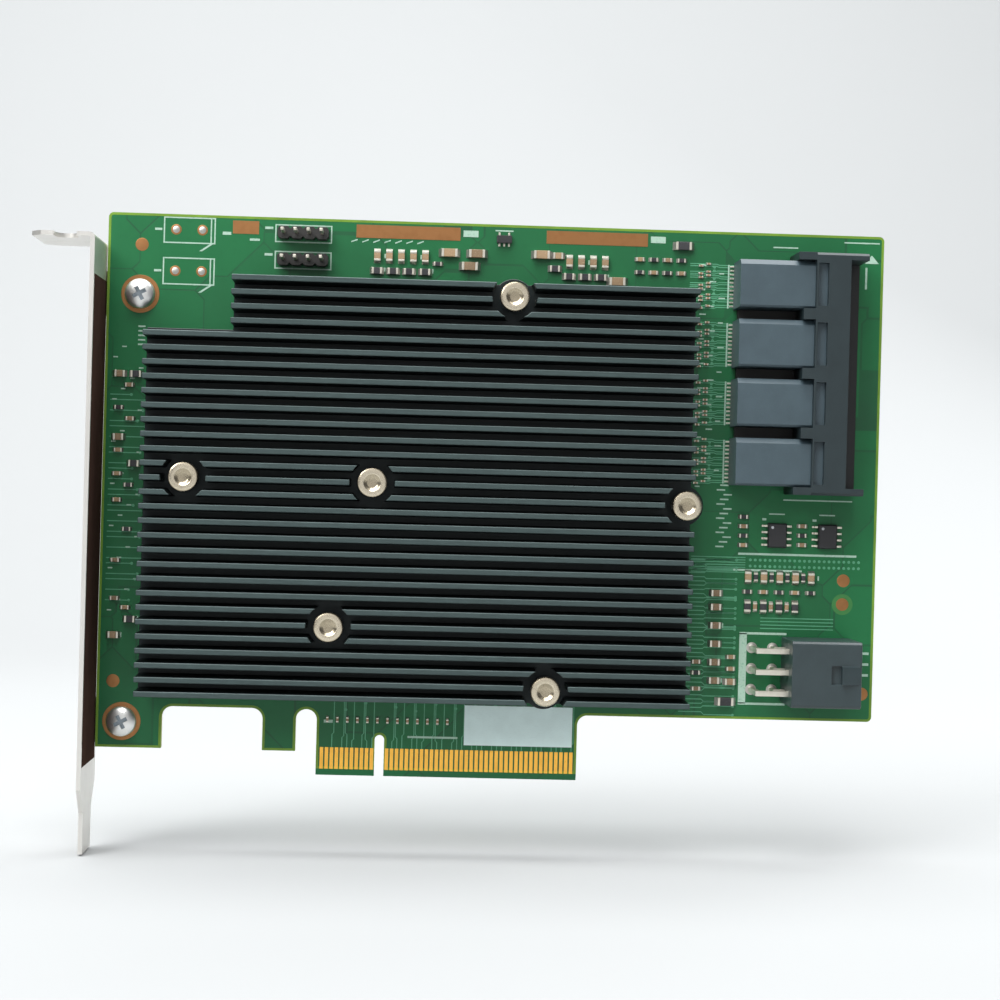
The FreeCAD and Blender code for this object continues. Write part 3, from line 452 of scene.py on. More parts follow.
def weigh_normals(mesh: bpy.types.Mesh) -> None:
    """Gives each corner a normal that is led by the large faces that meet there.

    Args:
        mesh: Mesh to shade.
    """
    limit = math.cos(SMOOTH_ANGLE)
    copy = bmesh.new()
    copy.from_mesh(mesh)
    weighted = {face: face.normal * face.calc_area() for face in copy.faces}
    normals = []
    for face in copy.faces:
        for vert in face.verts:
            near = [weighted[other] for other in vert.link_faces if other.normal.dot(face.normal) > limit]
            normals.append(sum(near, Vector()).normalized())
    copy.free()
    mesh.shade_smooth()
    mesh.normals_split_custom_set(normals)


def add_piece(
    name: str, shape: Shape, finish: "Finish", slot: str, replaces: Sequence[str] = (),
) -> bpy.types.Object:
    """Turns a shape into a piece of the card.

    Args:
        name: Name of the piece.
        shape: Its form, which is used up.
        finish: Its finish.
        slot: Material slot of the record that it belongs to; not used.
        replaces: CAD nodes that it stands for.

    Returns:
        The new object.
    """
    mesh = shape.close()
    mesh.name = name
    mesh.materials.append(finish.material())
    weigh_normals(mesh)
    piece = bpy.data.objects.new(name, mesh)
    bpy.context.scene.collection.objects.link(piece)
    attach(piece, BODY)
    if replaces:
        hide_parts(*replaces)
    log.info("%s: %d faces", name, len(mesh.polygons))
    return piece


def dress(node: str, finish: "Finish") -> None:
    """Gives a CAD node its finish.

    Args:
        node: Name of the node.
        finish: Its finish.
    """
    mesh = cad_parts[node].data
    mesh.materials.clear()
    mesh.materials.append(finish.material())
    log.info("%s: dressed in %s", node, finish.name)


def carve(piece: bpy.types.Object, cutter: Shape) -> None:
    """Cuts a shape out of a piece.

    Args:
        piece: Piece that is cut.
        cutter: Shape to take away, which is used up.
    """
    tool = bpy.data.objects.new("cutter", cutter.close())
    bpy.context.scene.collection.objects.link(tool)
    cut = piece.modifiers.new("cut", "BOOLEAN")
    cut.operation = "DIFFERENCE"
    cut.object = tool
    bpy.context.view_layer.update()
    evaluated = piece.evaluated_get(bpy.context.evaluated_depsgraph_get())
    mesh = bpy.data.meshes.new_from_object(evaluated)
    piece.modifiers.clear()
    piece.data = mesh
    weigh_normals(mesh)
    bpy.data.objects.remove(tool)


Value = Union["Wire", float, Colour]
NOISE_MIDDLE = 0.5


class Wire:
    """Output of a shader node, with the sums that are used on it."""

    def __init__(self, graph: "Graph", socket: bpy.types.NodeSocket) -> None:
        """Holds one output in a graph."""
        self.graph = graph
        self.socket = socket

    def sum(self, operation: str, first: Value, second: Value) -> "Wire":
        """Result of one Math node."""
        return self.graph.node("ShaderNodeMath", {"operation": operation}, {0: first, 1: second})

    def __add__(self, other: Value) -> "Wire":
        """Sum."""
        return self.sum("ADD", self, other)

    __radd__ = __add__

    def __sub__(self, other: Value) -> "Wire":
        """Difference."""
        return self.sum("SUBTRACT", self, other)

    def __rsub__(self, other: Value) -> "Wire":
        """Difference from a number."""
        return self.sum("SUBTRACT", other, self)

    def __mul__(self, other: Value) -> "Wire":
        """Product."""
        return self.sum("MULTIPLY", self, other)

    __rmul__ = __mul__

    def __gt__(self, other: Value) -> "Wire":
        """1 where larger, 0 elsewhere."""
        return self.sum("GREATER_THAN", self, other)

    def __lt__(self, other: Value) -> "Wire":
        """1 where smaller, 0 elsewhere."""
        return self.sum("LESS_THAN", self, other)

    def __abs__(self) -> "Wire":
        """Size without its sign."""
        return self.sum("ABSOLUTE", self, 0.0)

    def between(self, low: float, high: float) -> "Wire":
        """Smooth step from 0 at one value to 1 at another."""
        settings = {"interpolation_type": "SMOOTHSTEP"}
        return self.graph.node("ShaderNodeMapRange", settings, {0: self, 1: low, 2: high})


@dataclass(frozen=True)
class Noise:
    """Noise on the card: its lumps in a millimetre, its finer steps and its stretch along the axes."""

    scale: float
    detail: float
    stretch: Triple | None = None


@dataclass(frozen=True)
class Patches:
    """Where a second tone shows: the noise that starts it, the noise that fills it, and its share."""

    start: float
    full: float
    share: float

    def of(self, noise: Wire) -> Wire:
        """Share of the second tone."""
        return noise.between(self.start, self.full) * self.share


class Graph:
    """Node graph of one material."""

    def __init__(self, name: str) -> None:
        """Makes an empty material with its shader.

        Args:
            name: Name of the material.
        """
        self.made = bpy.data.materials.new(name)
        self.made.use_nodes = True
        self.tree = self.made.node_tree
        self.shader = self.tree.nodes["Principled BSDF"]

    def node(self, kind: str, settings: dict | None = None, inputs: dict | None = None, out: int = 0) -> Wire:
        """Adds a node.

        Args:
            kind: Type of the node.
            settings: Its options, set first.
            inputs: Values or links of its sockets, by name or number.
            out: Number of the output that is used.

        Returns:
            That output.
        """
        made = self.tree.nodes.new(kind)
        for key, value in (settings or {}).items():
            setattr(made, key, value)
        for key, value in (inputs or {}).items():
            self.join(made.inputs[key], value)
        return Wire(self, made.outputs[out])

    def join(self, socket: bpy.types.NodeSocket, value: Value) -> None:
        """Links or sets one input.

        Args:
            socket: The input.
            value: A wire, a number or a colour.
        """
        if isinstance(value, Wire):
            self.tree.links.new(value.socket, socket)
        elif isinstance(value, tuple) and socket.type == "RGBA":
            socket.default_value = (*value, 1.0)
        else:
            socket.default_value = value

    def set(self, **inputs: Value) -> None:
        """Links or sets inputs of the shader, named with low lines for spaces."""
        for key, value in inputs.items():
            self.join(self.shader.inputs[key.replace("_", " ")], value)

    def place(self) -> Wire:
        """Place on the card in millimetres."""
        here = self.node("ShaderNodeTexCoord", out=3)
        return self.node("ShaderNodeVectorMath", {"operation": "SCALE"}, {0: here, "Scale": 1 / MM})

    def stretched(self, x: float, y: float, z: float) -> Wire:
        """Place in millimetres, scaled along each axis."""
        inputs = {0: self.place(), 1: (x, y, z)}
        return self.node("ShaderNodeVectorMath", {"operation": "MULTIPLY"}, inputs)

    def height(self) -> Wire:
        """Height above the component face, in millimetres."""
        y = self.node("ShaderNodeSeparateXYZ", inputs={0: self.place()}, out=1)
        return face_plane() / MM - y

    def rise(self) -> Wire:
        """Distance up the card, in millimetres."""
        return self.node("ShaderNodeSeparateXYZ", inputs={0: self.place()}, out=2)

    def facing(self, axis: int) -> Wire:
        """Part of the surface's normal along one axis, counted from 0."""
        normal = self.node("ShaderNodeNewGeometry", out=1)
        return self.node("ShaderNodeSeparateXYZ", inputs={0: normal}, out=axis)

    def flatness(self) -> Wire:
        """How far a surface faces along the board's normal, from 0 to 1."""
        return abs(self.facing(1))

    def noise(self, kind: Noise) -> Wire:
        """Noise from 0 to 1.

        Args:
            kind: Its size, steps and stretch.

        Returns:
            The noise.
        """
        vector = self.stretched(*kind.stretch) if kind.stretch else self.place()
        inputs = {"Vector": vector, "Scale": kind.scale, "Detail": kind.detail}
        return self.node("ShaderNodeTexNoise", inputs=inputs)

    def blend(self, factor: Value, first: Value, second: Value) -> Wire:
        """Mix of two colours, from the first at 0 to the second at 1."""
        inputs = {0: factor, 6: first, 7: second}
        return self.node("ShaderNodeMix", {"data_type": "RGBA"}, inputs, out=2)

    def shade(self, factor: Value, colour: Colour, light: Span) -> Wire:
        """One colour that goes from a darker to a lighter tone, both given as factors."""
        return self.blend(factor, *(lighter(colour, share) for share in light))

    def bump(self, height: Wire, depth: float, strength: float = 1.0) -> Wire:
        """Normal from a relief of a depth in millimetres, and the share of it that shows."""
        inputs = {"Height": height, "Distance": depth * MM, "Strength": strength}
        return self.node("ShaderNodeBump", inputs=inputs)


def lighter(colour: Colour, factor: float) -> Colour:
    """Colour times a factor, within white."""
    return tuple(min(1.0, c * factor) for c in colour)


@dataclass(frozen=True)
class Finish:
    """A surface finish; each kind says how its nodes are joined."""

    name: str
    colour: Colour
    roughness: float = 0.4

    @cache
    def material(self) -> bpy.types.Material:
        """Makes this finish's material, once.

        Returns:
            The material.
        """
        graph = Graph(self.name)
        self.paint(graph)
        return graph.made

    def paint(self, graph: Graph) -> None:
        """Joins the nodes of this finish."""
        raise NotImplementedError

    def uneven(self, *spreads: tuple[Wire, float]) -> Wire:
        """Roughness that varies with noises.

        Args:
            spreads: Noises, each with the range that it adds.

        Returns:
            The roughness.
        """
        value = self.roughness
        for noise, spread in spreads:
            value = value + (noise - NOISE_MIDDLE) * spread
        return value


@dataclass(frozen=True)
class MouldedPlastic(Finish):
    """Glass-filled plastic with a fine mould texture."""

    clouds: Noise = Noise(0.35, 3.0)
    specks: Noise = Noise(6.0, 2.0)
    mottle: Span = (0.82, 1.18)
    flecks: Patches = Patches(0.62, 0.75, 0.35)
    fleck_light: float = 1.9
    gloss: float = 0.16
    grain: float = 0.02
    grain_share: float = 0.6

    def paint(self, graph: Graph) -> None:
        """Mottled colour, uneven gloss and a fine grain.

        Args:
            graph: Graph to fill.
        """
        cloud = graph.noise(self.clouds)
        speck = graph.noise(self.specks)
        graph.set(Base_Color=self.tone(graph, cloud, speck))
        graph.set(Roughness=self.uneven((cloud, self.gloss)))
        graph.set(Normal=graph.bump(speck, self.grain, self.grain_share))

    def tone(self, graph: Graph, cloud: Wire, speck: Wire) -> Wire:
        """Colour of the plastic, from its soft patches and its fine grain."""
        mottled = graph.shade(cloud, self.colour, self.mottle)
        return graph.blend(self.flecks.of(speck), mottled, lighter(self.colour, self.fleck_light))


@dataclass(frozen=True)
class ShadedMouthPlastic(MouldedPlastic):
    """Moulded plastic with painted shade that darkens it towards the floor of its mouth."""

    # floor is the colour of the painted shade low in the mouth; the shade fades out towards the upper height.
    floor: Colour = (0.003, 0.004, 0.0045)
    floor_height: float = 1.6
    unshaded_height: float = 7.5

    def tone(self, graph: Graph, cloud: Wire, speck: Wire) -> Wire:
        """Colour of the plastic, with painted shade low down."""
        clear = graph.height().between(self.floor_height, self.unshaded_height)
        return graph.blend(clear, self.floor, super().tone(graph, cloud, speck))


@dataclass(frozen=True)
class PlatedMetal(Finish):
    """Gold, copper or tin plating, wiped along one direction and dulled in patches."""

    lines: Triple = (9.0, 9.0, 0.6)
    line_detail: float = 3.0
    line_gloss: float = 0.25
    relief: float = 0.003
    clouds: Noise = Noise(0.5, 4.0)
    cloud_gloss: float = 0.1
    dulled: Colour = (0.45, 0.3, 0.12)
    dulls: Patches = Patches(0.42, 0.75, 0.35)

    def paint(self, graph: Graph) -> None:
        """Streaks in gloss and relief, and soft patches in colour.

        Args:
            graph: Graph to fill.
        """
        streak = graph.noise(Noise(1.0, self.line_detail, self.lines))
        cloud = graph.noise(self.clouds)
        graph.set(Base_Color=self.tone(graph, streak, cloud), Metallic=1.0)
        graph.set(Roughness=self.uneven((streak, self.line_gloss), (cloud, self.cloud_gloss)))
        graph.set(Normal=graph.bump(streak, self.relief))

    def tone(self, graph: Graph, streak: Wire, cloud: Wire) -> Wire:
        """Colour of the metal, from its streaks and its soft patches."""
        return graph.blend(self.dulls.of(cloud), self.colour, self.dulled)


@dataclass(frozen=True)
class BrushedMetal(PlatedMetal):
    """Metal with fine lines in one direction and faint handling marks."""

    lines: Triple = (6.0, 6.0, 0.15)
    line_detail: float = 4.0
    line_gloss: float = 0.22
    line_share: float = 0.25
    line_light: float = 0.72
    relief: float = 0.004
    clouds: Noise = Noise(0.22, 4.0)
    cloud_gloss: float = 0.12
    dulled: Colour = (0.3, 0.28, 0.25)
    dulls: Patches = Patches(0.5, 0.8, 0.25)

    def tone(self, graph: Graph, streak: Wire, cloud: Wire) -> Wire:
        """Colour of the metal, darker in its lines."""
        plain = super().tone(graph, streak, cloud)
        return graph.blend(streak * self.line_share, plain, lighter(self.colour, self.line_light))


@dataclass(frozen=True)
class DishedMetal(BrushedMetal):
    """Turned metal that is duller in the dish of its head."""

    dish: Colour = (0.4, 0.34, 0.24)
    dish_heights: Span = (12.1, 12.62)
    dish_flatness: float = 0.35
    dish_share: Span = (0.6, 0.4)

    def tone(self, graph: Graph, streak: Wire, cloud: Wire) -> Wire:
        """Colour of the metal, darker inside the dish.

        Args:
            graph: Graph to add to.
            streak: Fine lines.
            cloud: Soft patches.

        Returns:
            The colour.
        """
        height = graph.height()
        low, high = self.dish_heights
        inside = (height > low) * (height < high) * (graph.flatness() > self.dish_flatness)
        least, more = self.dish_share
        return graph.blend(inside * (least + more * cloud), super().tone(graph, streak, cloud), self.dish)


@dataclass(frozen=True)
class ReflectionBandSheet(BrushedMetal):
    """Pale plated sheet with a painted dark reflection in a strip down its inner face."""

    # film is the colour of a dark reflection painted down the inner face.
    painted_reflection: Colour = (0.062, 0.036, 0.028)
    reflection_light: Span = (0.8, 1.3)
    reflection_facing: float = 0.7
    reflection_rise: Span = (2.4, 97.4)
    reflection_height: Span = (-1.4, 15.4)
    plating: float = 0.78

    def paint(self, graph: Graph) -> None:
        """Brushed plating, not metallic under the painted reflection."""
        super().paint(graph)
        graph.set(Metallic=self.plating * (1 - self.reflection_band(graph)), Specular_IOR_Level=0.0)

    def reflection_band(self, graph: Graph) -> Wire:
        """Place of the painted reflection.

        Args:
            graph: Graph to add to.

        Returns:
            1 on the painted reflection, 0 elsewhere.
        """
        mask = graph.facing(0) > self.reflection_facing
        for value, (low, high) in ((graph.rise(), self.reflection_rise), (graph.height(), self.reflection_height)):
            mask = mask * (value > low) * (value < high)
        return mask

    def tone(self, graph: Graph, streak: Wire, cloud: Wire) -> Wire:
        """Colour of the sheet and of its painted dark reflection."""
        dark = graph.shade(cloud, self.painted_reflection, self.reflection_light)
        return graph.blend(self.reflection_band(graph), super().tone(graph, streak, cloud), dark)


@dataclass(frozen=True)
class AnodisedFins(Finish):
    """Black anodised extrusion, greyer on the fin tips where a sheen is painted."""

    # tip is the colour of the sheen painted on the fin tips.
    tip: Colour = (0.05, 0.077, 0.076)
    tip_heights: Span = (12.65, 12.9)
    tip_share: Span = (0.75, 0.25)
    tip_gloss: float = 0.06
    metal: float = 0.35
    drawn: Noise = Noise(1.0, 4.0, (0.05, 4.0, 4.0))
    drawn_gloss: float = 0.2
    drawn_relief: float = 0.01
    clouds: Noise = Noise(0.12, 4.0)
    cloud_light: Span = (1.0, 1.7)
    sheen_noise: Noise = Noise(1.0, 5.0, (0.5, 2.0, 3.0))
    sheen_range: Span = (0.35, 0.75)
    sheen_light: Span = (0.92, 1.1)

    def paint(self, graph: Graph) -> None:
        """Extrusion lines along the fins, a painted sheen on the tips and a dusty bloom.

        Args:
            graph: Graph to fill.
        """
        drawn = graph.noise(self.drawn)
        cloud = graph.noise(self.clouds)
        sheen_mottle = graph.noise(self.sheen_noise).between(*self.sheen_range)
        tips = graph.height().between(*self.tip_heights)
        least, more = self.tip_share
        sides = graph.shade(cloud, self.colour, self.cloud_light)
        # worn holds the painted sheen of the tips, varied by noise.
        worn = graph.shade(sheen_mottle, self.tip, self.sheen_light)
        graph.set(Base_Color=graph.blend(tips * (least + more * cloud), sides, worn), Metallic=self.metal)
        graph.set(Roughness=self.uneven((drawn, self.drawn_gloss)) + tips * self.tip_gloss)
        graph.set(Normal=graph.bump(drawn, self.drawn_relief))


@dataclass(frozen=True)
class SolderMask(Finish):
    """Green mask over etched copper, with bare laminate on the board's cut edges."""

    bare: Colour = (0.011, 0.08, 0.032)
    cell: float = 0.055
    gap: float = 0.012
    pour_range: Span = (0.15, 0.75)
    pour_share: Span = (0.6, 0.4)
    pour_relief: float = 0.02
    relief_share: float = 0.35
    clouds: Noise = Noise(0.06, 3.0)
    pale: Patches = Patches(0.35, 0.7, 0.3)
    pale_light: float = 1.25
    fine: Noise = Noise(0.8, 4.0)
    dark: Patches = Patches(0.5, 0.8, 0.2)
    dark_light: float = 0.75
    gloss: float = 0.12
    shine: float = 0.35
    laminate: Colour = (0.34, 0.38, 0.09)
    laminate_light: Span = (0.75, 1.15)
    weave: Noise = Noise(1.0, 3.0, (1.2, 14.0, 1.2))
    cut_flatness: float = 0.5
    cut_gloss: float = 0.3

    def paint(self, graph: Graph) -> None:
        """Copper pours in tone and relief, an uneven gloss and the cut edges.

        Args:
            graph: Graph to fill.
        """
        copper = self.pours(graph)
        cloud = graph.noise(self.clouds)
        tone = graph.blend(copper, self.bare, self.colour)
        tone = graph.blend(self.pale.of(cloud), tone, lighter(self.colour, self.pale_light))
        spots = self.dark.of(graph.noise(self.fine))
        tone = graph.blend(spots, tone, lighter(self.colour, self.dark_light))
        edge = graph.flatness() < self.cut_flatness
        cut = graph.shade(graph.noise(self.weave), self.laminate, self.laminate_light)
        graph.set(Base_Color=graph.blend(edge, tone, cut), Specular_IOR_Level=self.shine)
        graph.set(Roughness=self.uneven((cloud, self.gloss)) + edge * self.cut_gloss)
        graph.set(Normal=graph.bump(copper, self.pour_relief, self.relief_share))

    def pours(self, graph: Graph) -> Wire:
        """Fields of copper with narrow gaps between them.

        Args:
            graph: Graph to add to.

        Returns:
            Share of copper at a place.
        """
        inputs = {"Vector": graph.stretched(1.0, 0.0, 1.0), "Scale": self.cell}
        nearest, second = (
            graph.node("ShaderNodeTexVoronoi", {"distance": "CHEBYCHEV", "feature": feature}, inputs)
            for feature in ("F1", "F2")
        )
        cell = Wire(graph, nearest.socket.node.outputs[1])
        chance = graph.node("ShaderNodeSeparateColor", inputs={0: cell}).between(*self.pour_range)
        least, more = self.pour_share
        return (least + more * chance) * (1 - ((second - nearest) < self.gap))


@dataclass(frozen=True)
class CoatedTrace(Finish):
    """Copper under the mask, paler than the laminate beside it."""

    clouds: Noise = Noise(0.35, 3.0)
    light: Span = (0.75, 1.3)
    gloss: float = 0.15
    shine: float = 0.35

    def paint(self, graph: Graph) -> None:
        """Uneven green with a soft gloss.

        Args:
            graph: Graph to fill.
        """
        cloud = graph.noise(self.clouds)
        graph.set(Base_Color=graph.shade(cloud, self.colour, self.light))
        graph.set(Roughness=self.uneven((cloud, self.gloss)), Specular_IOR_Level=self.shine)


@dataclass(frozen=True)
class LiddedChip(Finish):
    """Green substrate below a plated metal lid."""

    substrate: Colour = (0.02, 0.07, 0.04)
    lid_height: float = 1.3
    lid_light: Span = (1.0, 0.8)
    lines: Noise = Noise(1.0, 3.0, (3.0, 3.0, 0.2))
    gloss: float = 0.15

    def paint(self, graph: Graph) -> None:
        """Splits the package by height.

        Args:
            graph: Graph to fill.
        """
        lid = graph.height() > self.lid_height
        streak = graph.noise(self.lines)
        plated = graph.shade(streak, self.colour, self.lid_light)
        graph.set(Base_Color=graph.blend(lid, self.substrate, plated))
        graph.set(Metallic=lid, Roughness=self.uneven((streak, self.gloss)))


@dataclass(frozen=True)
class Ceramic(Finish):
    """Sintered ceramic with fine grains of another tone."""

    grain: Colour = (0.6, 0.5, 0.36)
    specks: Noise = Noise(5.0, 3.0)
    grains: Patches = Patches(0.55, 0.75, 0.4)
    batches: Noise = Noise(0.08, 1.0)
    batch_range: Span = (0.35, 0.65)
    batch_light: Span = (0.7, 1.2)
    gloss: float = 0.2
    relief: float = 0.01
    relief_share: float = 0.5

    def paint(self, graph: Graph) -> None:
        """Speckled colour and uneven gloss.

        Args:
            graph: Graph to fill.
        """
        speck = graph.noise(self.specks)
        batch = graph.noise(self.batches).between(*self.batch_range)
        tone = graph.shade(batch, self.colour, self.batch_light)
        graph.set(Base_Color=graph.blend(self.grains.of(speck), tone, self.grain))
        graph.set(Roughness=self.uneven((speck, self.gloss)))
        graph.set(Normal=graph.bump(speck, self.relief, self.relief_share))


@dataclass(frozen=True)
class PrintedInk(Finish):
    """Screen-printed ink, thin in places."""

    worn: Colour = (0.3, 0.5, 0.4)
    wear: Noise = Noise(2.2, 4.0)
    thin: Patches = Patches(0.5, 0.75, 0.6)
    gloss: float = 0.2

    def paint(self, graph: Graph) -> None:
        """Ink that lets the mask show through where it is thin.

        Args:
            graph: Graph to fill.
        """
        wear = graph.noise(self.wear)
        graph.set(Base_Color=graph.blend(self.thin.of(wear), self.colour, self.worn))
        graph.set(Roughness=self.uneven((wear, self.gloss)))


@dataclass(frozen=True)
class LabelPaper(Finish):
    """Matt paper with faint fibres."""

    fibres: Noise = Noise(1.0, 6.0, (1.2, 1.0, 5.0))
    threads: Patches = Patches(0.5, 0.8, 0.3)
    thread_light: float = 0.8
    clouds: Noise = Noise(0.3, 3.0)
    cloud_light: Span = (0.9, 1.08)
    gloss: float = 0.15
    relief: float = 0.02
    relief_share: float = 0.5

    def paint(self, graph: Graph) -> None:
        """Fibres in tone and relief.

        Args:
            graph: Graph to fill.
        """
        fibre = graph.noise(self.fibres)
        tone = graph.shade(graph.noise(self.clouds), self.colour, self.cloud_light)
        dark = lighter(self.colour, self.thread_light)
        graph.set(Base_Color=graph.blend(self.threads.of(fibre), tone, dark))
        graph.set(Roughness=self.uneven((fibre, self.gloss)))
        graph.set(Normal=graph.bump(fibre, self.relief, self.relief_share))


@dataclass(frozen=True)
class PaleBackdrop(Finish):
    """Seamless pale paper behind and below the card."""

    clouds: Noise = Noise(0.004, 2.0)
    light: Span = (1.0, 1.03)

    def paint(self, graph: Graph) -> None:
        """A barely uneven matt tone."""
        tone = graph.shade(graph.noise(self.clouds), self.colour, self.light)
        graph.set(Base_Color=tone, Roughness=self.roughness)


ROUND = (5.0, 5.0, 5.0)
MASK = SolderMask("green_solder_mask", (0.008, 0.127, 0.04), 0.4)
MARGIN = CoatedTrace("bare_laminate_margin", (0.14, 0.26, 0.025), 0.45)
CLEARANCE = CoatedTrace("pad_clearance_mask", (0.04, 0.17, 0.045), 0.42)
TRACE = CoatedTrace("coated_trace", (0.085, 0.295, 0.165), 0.42)
GOLD = PlatedMetal("gold_contact", (1.0, 0.53, 0.09), 0.32, dulled=(0.78, 0.38, 0.055))
COPPER = PlatedMetal(
    "bare_copper", (0.38, 0.185, 0.076), 0.45, dulled=(0.27, 0.13, 0.05), lines=(0.6, 9.0, 9.0),
)
TIN = PlatedMetal("bright_tin", (0.78, 0.74, 0.64), 0.36, dulled=(0.5, 0.46, 0.38))
SOLDER = PlatedMetal("solder", (0.5, 0.49, 0.45), 0.42, dulled=(0.32, 0.31, 0.28), lines=(1.0, 1.0, 1.0))
BRACKET_STEEL = ReflectionBandSheet("bracket_steel", (0.76, 0.74, 0.7), 0.36, dulled=(0.48, 0.45, 0.4))
SCREW_STEEL = BrushedMetal("screw_steel", (0.9, 0.9, 0.88), 0.38, lines=ROUND)
# Darker steel for the painted shade at the bottom of the screw recesses.
RECESS_SHADE_STEEL = BrushedMetal("recess_shade_steel", (0.34, 0.39, 0.43), 0.5, lines=ROUND)
PIN_METAL = DishedMetal(
    "pin_metal", (0.7, 0.62, 0.48), 0.28, lines=(4.0, 4.0, 4.0), dulled=(0.42, 0.36, 0.22),
)
SPRING_WIRE = BrushedMetal("spring_wire", (0.62, 0.62, 0.6), 0.3, lines=ROUND)
ANODISED = AnodisedFins("black_anodised", (0.005, 0.0095, 0.01), 0.42)
PORT_PLASTIC = MouldedPlastic("port_plastic", (0.047, 0.073, 0.088), 0.42)
SHROUD_PLASTIC = ShadedMouthPlastic("shroud_plastic", (0.013, 0.0235, 0.027), 0.42)
POWER_PLASTIC = MouldedPlastic("power_plastic", (0.026, 0.041, 0.045), 0.34)
HEADER_PLASTIC = MouldedPlastic("header_plastic", (0.014, 0.013, 0.012), 0.5)
CHIP_PLASTIC = MouldedPlastic("chip_plastic", (0.018, 0.018, 0.02), 0.55)
CHIP_LID = LiddedChip("lidded_chip", (0.5, 0.5, 0.5), 0.35)
THERMAL_PAD = MouldedPlastic("thermal_pad", (0.42, 0.44, 0.46), 0.7)
TAN_CERAMIC = Ceramic("tan_ceramic", (0.3, 0.2, 0.11), 0.5)
DARK_CERAMIC = Ceramic("dark_ceramic", (0.03, 0.03, 0.033), 0.4, grain=(0.1, 0.1, 0.11))
INK = PrintedInk("white_ink", (0.36, 0.52, 0.42), 0.6, worn=(0.12, 0.33, 0.2))
PAPER = LabelPaper("label_paper", (0.72, 0.88, 0.86), 0.75)
BACKDROP = PaleBackdrop("pale_backdrop", (0.37, 0.381, 0.385), 0.9)


@dataclass(frozen=True)
class ChipSize:
    """Size of a small two-ended part."""

    length: float
    width: float
    height: float
    end: float


LARGE = ChipSize(3.2, 1.6, 1.2, 0.5)
MEDIUM = ChipSize(2.0, 1.25, 0.85, 0.4)
SMALL = ChipSize(1.6, 0.8, 0.6, 0.32)
TINY = ChipSize(1.0, 0.5, 0.45, 0.24)
LANE = ChipSize(0.9, 0.4, 0.4, 0.24)
CAP, RES = PartKind.CAPACITOR, PartKind.RESISTOR


@dataclass
class SmallParts:
    """Rows of small two-ended parts on one face, each with its solder."""

    name: str
    side: Side
    fillet: float = 0.35
    fillet_rise: float = 0.55
    body_drop: float = 0.03
    body_edge: float = 0.05
    end_edge: float = 0.06
    bodies: dict[PartKind, Shape] = field(default_factory=lambda: {kind: Shape() for kind in PartKind})
    ends: Shape = field(default_factory=Shape)
    solder: Shape = field(default_factory=Shape)

    def add(self, x: float, z: float, size: ChipSize, run: Run, kind: PartKind) -> None:
        """Adds one part.

        Args:
            x: Middle along the card.
            z: Middle up the card.
            size: Its size.
            run: Direction from end to end.
            kind: Its sort.
        """
        half = size.length / 2
        inner = half - size.end
        outer = half + self.fillet * size.width
        wide = size.width / 2

        def box(start: float, end: float, rise: float) -> Box:
            """Slice of the part.

            Args:
                start: One distance from the part's middle.
                end: The other distance.
                rise: Height of the slice.

            Returns:
                The box of the slice.
            """
            near, far = sorted((start, end))
            if run is Run.ALONG:
                return slab(self.side, (x + near, x + far), (z - wide, z + wide), rise)
            return slab(self.side, (x - wide, x + wide), (z + near, z + far), rise)

        self.bodies[kind].block(box(-inner, inner, size.height - self.body_drop), self.body_edge, 1)
        for way in (-1, 1):
            self.ends.block(box(way * inner, way * half, size.height), self.end_edge)
            out = (way, 0) if run is Run.ALONG else (0, way)
            foot = box(way * half, way * outer, size.height * self.fillet_rise)
            self.solder.wedge(foot, out, self.side)

    def finish(self) -> None:
        """Turns the rows into pieces."""
        looks = {CAP: (TAN_CERAMIC, "capacitor_tan"), RES: (DARK_CERAMIC, "resistor_black")}
        for kind, shape in self.bodies.items():
            if shape.bm.verts:
                add_piece(f"{self.name}_{kind.value}_bodies", shape, *looks[kind])
        add_piece(f"{self.name}_ends", self.ends, TIN, "tin")
        add_piece(f"{self.name}_solder", self.solder, SOLDER, "tin")


